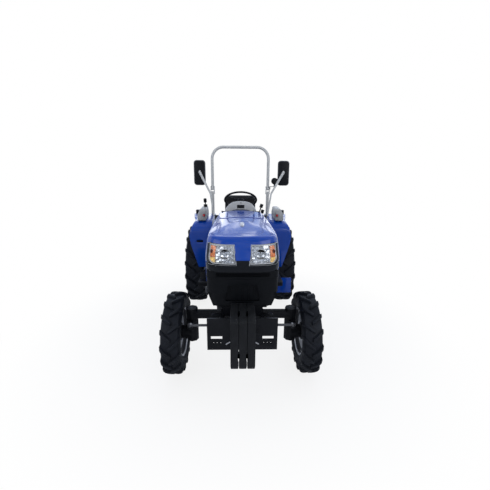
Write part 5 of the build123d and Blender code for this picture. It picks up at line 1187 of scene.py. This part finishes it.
clear_selection()
bpy.ops.mesh.primitive_circle_add(
    vertices=32, radius=tube_radius * MM, fill_type="NGON", location=(post_x * MM, hoop_y * MM, fold_z * MM)
)
hoop = settle("roll_hoop_shape")
edit(hoop)
choose_all()
pull(z=bend_z - fold_z)
bend(bend_x)
pull(x=-2 * bend_x)
bend(-bend_x)
pull(z=fold_z - bend_z)
choose_all()
bpy.ops.mesh.remove_doubles(threshold=HAIR * MM)
bpy.ops.mesh.select_all(action="DESELECT")
bpy.ops.mesh.select_interior_faces()
bpy.ops.mesh.delete(type="FACE")
leave()
face_outwards(hoop)
print("hoop box", [round(v / MM) for v in hoop.dimensions])
hoop_parts = [hoop]
for side in (-1, 1):
    eye = bar("eye", (side * 355, hoop_y, fold_z), (side * 393, hoop_y, fold_z), tube_radius, 32)
    cut(eye, bar("hole", (side * 340, hoop_y, fold_z), (side * 410, hoop_y, fold_z), 8.1, 24))
    hoop_parts.append(soften(eye, 1.5, 2))
hoop = smooth(join("roll_hoop_shape", hoop_parts), 50)
mount_on(dress(hoop, light_grey_paint), "roll_hoop", "light_grey_paint", "rops_hoop")

# %% [markdown]
# Each mirror is a moulded shell with a rounded back, a recessed glass facing the driver, and a
# flat bent arm of pale steel with a clamp that shows from the front.


# %% Mirrors
def rounded_outline(left, low, right_end, high, radius, steps=5):
    """Corners of a rectangle with rounded corners, as pairs."""
    outline = []
    east, west, north, south = right_end - radius, left + radius, high - radius, low + radius
    for first, (x, z) in enumerate(((east, north), (west, north), (west, south), (east, south))):
        for step in range(steps + 1):
            angle = (first + step / steps) * pi / 2
            outline.append((x + radius * cos(angle), z + radius * sin(angle)))
    return outline


mirror_glass = finish("mirror_glass", (0.75, 0.78, 0.8), 0.03, metal=1.0, spread=0.02, patch=4.0, bump=0.0)
shells, arms, glasses = [], [], []
for side, head in ((1, 478), (-1, 460)):
    centre = side * head
    outline = rounded_outline(centre - 66, 1640, centre + 66, 1915, 34)
    housing = prism("housing", outline, 106.3, 140.3)
    edit(housing)
    choose(housing, lambda co, n: n.y < -0.9)
    scale_about((centre, 106, 1777), x=0.84, z=0.92)
    choose(housing, lambda co, n: n.y > 0.9)
    bpy.ops.mesh.inset(thickness=0.006)
    pull(y=-5)
    leave()
    shells.append(soften(housing, 3, 3, 40, 35))
    pane = prism("pane", rounded_outline(centre - 57, 1650, centre + 57, 1905, 20), 134.6, 136.2)
    glasses.append(soften(pane, 0.6, 1))
    arm_outline = [
        (297, 1296), (315, 1296), (351, 1548), (head + 10, 1784), (head + 3, 1802), (head - 10, 1804),
        (334, 1558),
    ]
    arms.append(soften(prism("arm", on_side(side, arm_outline), 97.3, 105.8), 2.2, 3))
    for x, z in on_side(side, ((head - 2, 1784), (head - 22, 1752), (308, 1312), (311, 1340))):
        arms.append(soften(bar("nut", (x, 98, z), (x, 91, z), 9, 6), 1, 2))
heads = smooth(join("mirror_heads", shells), 40)
mount_on(dress(heads, black_plastic), "chassis", "black_plastic", "mirrors")
mount_joined("mirror_arms", arms, light_grey_paint, "chassis", "light_grey_paint")
mount_joined("mirror_panes", glasses, mirror_glass, "chassis", "black_plastic")

# %% [markdown]
# The dash is a grey moulded hood: a dome across and a slope towards the driver. Rows of a half
# arch are joined from front to back. A dark slot and a small plug mark its front, and the
# driver's side carries a panel with a round dial.

# %% Dash
ARCH_STEPS, ARCH_POWER = 12, 2.7
dash_foot = 1185


def arch_row(y, half, top):
    """Left half of an arch across the tractor, from its foot to its middle."""
    row = []
    for number in range(ARCH_STEPS + 1):
        angle = pi / 2 * number / ARCH_STEPS
        x, share = half * cos(angle) ** (2 / ARCH_POWER), sin(angle) ** (2 / ARCH_POWER)
        row.append((x, y, dash_foot + (top - dash_foot) * share))
    return row


dash_rows = [arch_row(*level) for level in (
    (118.5, 190, 1372), (121, 197, 1386), (128, 202, 1404), (141, 204, 1425), (160, 205, 1442),
    (185, 205, 1454), (210, 205, 1457), (232, 203, 1450), (250, 200, 1426), (262, 195, 1385),
)]
hood = with_far_half("dash_shape", skin("dash_half", dash_rows))
edit(hood, "EDGE")
bpy.ops.mesh.select_non_manifold()
bpy.ops.mesh.edge_face_add()
leave()
turn_out(hood)
tower = box("tower_front", (-143, 120, 690), (143, 210, 1190))
hood = smooth(join("dash_shape", [hood, tower]), 38)
mount_on(dress(hood, grey_plastic), "chassis", "grey_plastic", "dash")
slot_outline = [(-43, 118.2, 1383), (43, 118.2, 1383), (43, 133, 1421), (-43, 133, 1421)]
slot = soften(drawn("dash_slot", slot_outline, (0, 14, 0)), 4, 3)
plug = bar("plug", (0, 158, 1436), (0, 160, 1446), 6, 16)
dial_face = bar("dial", (0, 246, 1412), (0, 252, 1416), 52, 40)
mount_joined("dash_slot", [slot, plug, dial_face], black_plastic, "chassis", "black_plastic")

# %% [markdown]
# The seat is two foam pads in black vinyl. Each starts as a plain crowned block a little smaller
# than the real one. It is remeshed evenly and blown up as cloth with air inside, while the side
# that lies on the seat pan is pinned. No point may move further than a cap, so the pad keeps its
# size. The sewn channels come last, because a remesh would wipe them out.


# %% Padding
def pad(name, low, high, cuts):
    """Evenly cut block to shape a pad from."""
    piece = box(name, low, high)
    edit(piece)
    choose_all()
    bpy.ops.mesh.subdivide(number_cuts=cuts)
    leave()
    return piece


def pin_points(piece, test):
    """Vertex group of the points that stay where they are."""
    edit(piece, "VERT")
    choose(piece, test, "VERT")
    group = piece.vertex_groups.new(name="pinned")
    bpy.ops.object.vertex_group_assign()
    leave()
    return group.name


VOXEL, AIR_PRESSURE, SWELL_CAP, FRAMES = 0.006, 4.0, 11, 20


def puffed(piece, held):
    """Swells a pad as cloth under pressure and caps how far a point may go."""
    voxels = piece.modifiers.new("even", "REMESH")
    voxels.mode = "VOXEL"
    voxels.voxel_size = VOXEL
    apply_modifier(piece, voxels)
    pinned = pin_points(piece, held)
    before = [point.co.copy() for point in piece.data.vertices]
    cloth = piece.modifiers.new("air", "CLOTH")
    cloth.settings.use_pressure = True
    cloth.settings.uniform_pressure_force = AIR_PRESSURE
    cloth.settings.effector_weights.gravity = 0.0
    cloth.settings.vertex_group_mass = pinned
    cloth.point_cache.frame_start = 1
    cloth.point_cache.frame_end = FRAMES
    for number in range(1, FRAMES + 1):
        bpy.context.scene.frame_set(number)
    apply_modifier(piece, cloth)
    bpy.context.scene.frame_set(1)
    for point, start in zip(piece.data.vertices, before):
        step = point.co - start
        if step.length > SWELL_CAP * MM:
            point.co = start + step.normalized() * SWELL_CAP * MM
    piece.vertex_groups.clear()
    subdivide_surface(piece, 1)


def channel(piece, from_seam, on_face, width, push):
    """Presses a sewn channel into one face of a pad, deepest along its middle."""
    edit(piece, "VERT")
    for reach, share in ((1.0, 0.35), (0.6, 0.35), (0.3, 0.3)):
        choose(piece, lambda co, n: on_face(co, n) and abs(from_seam(co)) / width < reach, "VERT")
        move(*[part * share for part in push])
    leave()


def mount_pad(piece, node):
    """Shades a pad smooth, dresses it in vinyl and mounts it."""
    face_outwards(piece)
    take(piece)
    bpy.ops.object.shade_smooth()
    mount_on(dress(piece, seat_vinyl), "chassis", "seat_vinyl", node)


# %% [markdown]
# The cushion has thick side rolls and a hollow to sit in. The backrest leans back, narrows
# towards its top and has two channels across. Both stay inside the room of their rigid nodes.

# %% Seat
cushion = pad("seat_cushion_shape", (-204, 394, 1004), (204, 668, 1070), 9)
edit(cushion)
choose(cushion, lambda co, n: n.z > 0.9 and abs(co.x) > 150)
move(z=6)
choose(cushion, lambda co, n: n.z > 0.9 and abs(co.x) < 120 and 440 < co.y < 640)
move(z=-9)
choose(cushion, lambda co, n: n.y < -0.9)
scale_about((0, 394, 1020), x=0.93, z=0.8)
choose(cushion, lambda co, n: n.z < -0.9)
scale_about((0, 530, 1004), x=0.96, y=0.96)
leave()
puffed(cushion, lambda co, n: co.z < 1012)
channel(cushion, lambda co: abs(co.x) - 142, lambda co, n: n.z > 0.3 and 430 < co.y < 650, 7, (0, 0, -5))
mount_pad(cushion, "seat_cushion")

backrest = pad("seat_back_shape", (-206, 698, 1088), (206, 752, 1480), 9)
edit(backrest)
choose(backrest, lambda co, n: n.z > 0.9)
scale_about((0, 726, 1480), x=0.8, y=0.75)
choose(backrest, lambda co, n: n.y < -0.9 and abs(co.x) > 140)
move(y=-6)
for level in (1089, 1185, 1281, 1377):
    choose(backrest, lambda co, n: co.z > level, "VERT")
    move(y=9)
leave()
puffed(backrest, lambda co, n: n.y > 0.7)
for groove in (1245, 1328):
    channel(backrest, lambda co: co.z - groove, lambda co, n: n.y < -0.3 and abs(co.x) < 165, 8, (0, 6, 0))
mount_pad(backrest, "seat_back")

# %% [markdown]
# The side screens close the engine bay below the bonnet. Their front lower corner is cut away
# on the slope of the grille, so nothing shows outside it from the front.

# %% Side screens
screens = rounded_copy("side_screens", 1)
for side in (-1, 1):
    corner = [(side * 240, -1215, 935), (side * 240, -1215, 700), (side * 240, -640, 700)]
    cut(screens, drawn("corner", corner, (side * 60, 0, 0)))
skin_x = 262.3
marks = []
for row in range(5):
    for column in range(16):
        y, z = -1120 + 40 * column + 20 * (row % 2), 950 - 26 * row
        if z - 700 > (-640 - y) * 0.4:
            marks.append(box("mark", (skin_x - 1, y - 14, z - 6), (skin_x + 0.2, y + 14, z + 6)))
print("screen slots on a side:", len(marks))
marks = join("screen_slots", marks)
marks = soften(join("screen_slots", [marks, mirrored(marks, "far_slots")]), 0.4, 1)
mount_on(dress(marks, dark_casting), "chassis", "black_plastic")

# %% [markdown]
# Small lamps: red lenses on the consoles and at the tail, and a glass on the work lamp. Each
# lens is a bevelled block or disc just proud of its housing.

# %% Small lamps
red_lens = finish("red_lens", (0.36, 0.006, 0.006), 0.12, spread=0.1, patch=60.0, grain=300.0, bump=0.1,
                  coat=0.6)
reds = []
for side in (-1, 1):
    reds.append(soften(box("marker", (side * 444 - 12, 287.5, 1264), (side * 444 + 12, 291, 1288)), 1.5, 2))
    for x in (544, 572, 600):
        lens = box("tail", (side * x - 12, 934, 1214), (side * x + 12, 938.5, 1256))
        reds.append(soften(lens, 1.5, 2))
mount_joined("red_lenses", reds, red_lens, "chassis", "amber_lens")
lens_rings = [(0, 38), (3, 37), (6, 30), (7, 18), (7.5, 1)]
work_glass = turned("work_glass", (0, 0, 0), lens_rings, 48, closed=False)
edit(work_glass, "EDGE")
bpy.ops.mesh.select_non_manifold()
bpy.ops.mesh.edge_face_add()
choose_all()
bpy.ops.transform.rotate(value=pi / 2, orient_axis="Z", center_override=(0, 0, 0))
move(462, 831.5, 1666)
leave()
face_outwards(work_glass)
mount_on(dress(smooth(work_glass, 40), mirror_glass), "chassis", "black_plastic")

# %% [markdown]
# The fenders lean in towards their top and their outer edge is rounded. A copy of the rigid
# node is cut level by level, and each level's outer side is moved in a little more. Towards the
# tail the fender stays wide, because the tail lamps stand there.

# %% Fenders and footboards
fender_foot, fender_top, fender_inner_x, fender_width = 880, 1208, 440, 200
lean, edge_fall = 62, 34
tail_start, tail_length = 860, 300

fenders = rounded_copy("fenders", 2)
edit(fenders)
for level in range(fender_foot, fender_top, 24):
    slice_at(Z, level)
for y in (380, 480, 580, 680, 780):
    slice_at(Y, y)
for side in (-1, 1):
    for start in range(fender_inner_x, 640, 20):
        slice_at(X, side * start)
form = bmesh.from_edit_mesh(fenders.data)
for point in form.verts:
    place = point.co / MM
    before_tail = min(1.0, max(0.0, (tail_start - place.y) / tail_length))
    up = max(0.0, (place.z - fender_foot) / (fender_top - fender_foot))
    outward = max(0.0, (abs(place.x) - fender_inner_x) / fender_width)
    near_top = max(0.0, (place.z - 1100) / (fender_top - 1100))
    point.co.x -= (1 if place.x > 0 else -1) * lean * MM * up ** 1.6 * before_tail * outward
    point.co.z -= edge_fall * MM * outward ** 4 * near_top * before_tail
bmesh.update_edit_mesh(fenders.data)
leave()
smooth(fenders, 35)
boards = rounded_copy("footboards", 2, black_paint)
dress_chosen(boards, blue_paint, lambda co, n: co.x > 400 and co.z < 597)

# %% [markdown]
# Fasteners are small, but without them castings look like toys. Each is a six-sided bar with a
# washer. They sit on the joints that really hold the machine together: the tie rod's ends, the
# kingpin caps, the frame's sides and the engine's side covers. The battery gets six cell caps.


# %% Fasteners
def fastener(place, out, radius):
    """Hexagon head on a washer, standing out of a face."""
    place, out = Vector(place), Vector(out)
    head = bar("head", place, place + out * radius * 0.8, radius, 6)
    return [soften(head, 1, 2), bar("washer", place, place + out * 1.6, radius * 1.35, 20)]


rod_ys = [corner[1] / MM for corner in frame["nodes"]["tie_rod"].bound_box]
eye_y = (min(rod_ys) + max(rod_ys)) / 2
print("tie rod eye at y", round(eye_y, 1))
kingpin_x, cap_circle = 450, 38
for side, body in ((1, "left_knuckle"), (-1, "right_knuckle")):
    nuts = fastener((side * 440, eye_y, 519), (0, 0, 1), 10)
    for number in range(6):
        angle = number * pi / 3
        x, y = side * kingpin_x + cap_circle * cos(angle), -820 + cap_circle * sin(angle)
        nuts += fastener((x, y, 495.8), (0, 0, 1), 6)
    mount_joined(body + "_nuts", nuts, bright_steel, body, "bright_steel")
fixings = []
for side in (-1, 1):
    for number in range(8):
        fixings += fastener((side * 128, -860 + 62 * number, 700), (side, 0, 0), 7)
    for z in (640, 690):
        for y in (-1240, -1180, -620, -560):
            fixings += fastener((side * 172, y, z), (side, 0, 0), 9)
for number in range(6):
    x = -115 + 46 * number
    fixings.append(bar("cell_cap", (x, -1135, 902), (x, -1135, 907), 11, 16))
mount_joined("fixings", fixings, dull_steel, "chassis", "bright_steel")

# %% [markdown]
# The stage: a plain pale floor under the tyres, a white surround that the camera and the
# reflections see, and large soft lights above, in front and at the sides, as in a studio.

# %% Stage and light
clear_selection()
bpy.ops.mesh.primitive_plane_add(size=40)
floor = settle("studio_floor")
floor_paint = finish("floor_paint", (0.5, 0.51, 0.53), 0.7, spread=0.01, patch=0.3, grain=300.0, bump=0.01)
dress(floor, floor_paint)
tree = floor_paint.node_tree
place = new_node(tree, "TexCoord")
away = new_node(tree, "VectorMath", operation="LENGTH")
fade = new_node(tree, "MapRange", {"From Min": 1.0, "From Max": 2.6, "To Min": 0.84, "To Max": 1.0},
                interpolation_type="SMOOTHSTEP")
path = new_node(tree, "LightPath")
shown = new_node(tree, "Math", operation="MULTIPLY")
white = new_node(tree, "Emission")
mix = new_node(tree, "MixShader")
wire(tree, place, "Object", away, 0)
wire(tree, away, "Value", fade, "Value")
wire(tree, fade, "Result", shown, 0)
wire(tree, path, "Is Camera Ray", shown, 1)
wire(tree, shown, "Value", mix, "Fac")
wire(tree, tree.nodes["Principled BSDF"], "BSDF", mix, 1)
wire(tree, white, "Emission", mix, 2)
wire(tree, mix, "Shader", tree.nodes["Material Output"], "Surface")

world = bpy.context.scene.world or bpy.data.worlds.new("studio")
bpy.context.scene.world = world
world.use_nodes = True
tree = world.node_tree
tree.nodes.clear()
out = new_node(tree, "OutputWorld")
room = new_node(tree, "Background")
seen = new_node(tree, "Background", {"Color": (1, 1, 1, 1), "Strength": 1.0})
mix = new_node(tree, "MixShader")
path = new_node(tree, "LightPath")
place = new_node(tree, "TexCoord")
cloud = new_node(tree, "TexNoise", {"Scale": 7.0, "Detail": 5.0, "Distortion": 1.2})
sky = new_node(tree, "ValToRGB")
ramp(sky, (0.46, (0.22, 0.30, 0.50, 1)), (0.58, (1.55, 1.6, 1.65, 1)))
heading = new_node(tree, "SeparateXYZ")
brighter = new_node(tree, "MapRange", {"From Min": 0.2, "From Max": 0.85, "To Min": 0.75, "To Max": 1.6})
wire(tree, place, "Generated", heading, "Vector")
wire(tree, heading, "Y", brighter, "Value")
wire(tree, brighter, "Result", room, "Strength")
wire(tree, place, "Generated", cloud, "Vector")
wire(tree, cloud, "Fac", sky, "Fac")
wire(tree, sky, "Color", room, "Color")
wire(tree, path, "Is Camera Ray", mix, "Fac")
wire(tree, room, "Background", mix, 1)
wire(tree, seen, "Background", mix, 2)
wire(tree, mix, "Shader", out, "Surface")


def panel(name, place, aim, size, power, shown=True):
    """Large soft light, which reflections may see or not."""
    clear_selection()
    bpy.ops.object.light_add(type="AREA", location=place)
    light = bpy.context.object
    light.name = name
    light.data.shape = "RECTANGLE"
    light.data.size, light.data.size_y = size
    light.data.energy = power
    light.visible_glossy = shown
    light.rotation_euler = (Vector(aim) - Vector(place)).to_track_quat("-Z", "Y").to_euler()


panel("overhead", (0, -0.6, 4.6), (0, -0.2, 0.8), (5.0, 5.0), 95, shown=False)
panel("front_right", (2.8, -4.2, 2.6), (0, -0.6, 0.8), (3.0, 3.0), 75)
panel("front_left", (-3.2, -3.6, 2.4), (0, -0.6, 0.8), (3.0, 3.0), 60)
panel("behind", (0, 4.5, 3.0), (0, 0.6, 1.0), (3.0, 1.6), 60, shown=False)
print("stage lit")
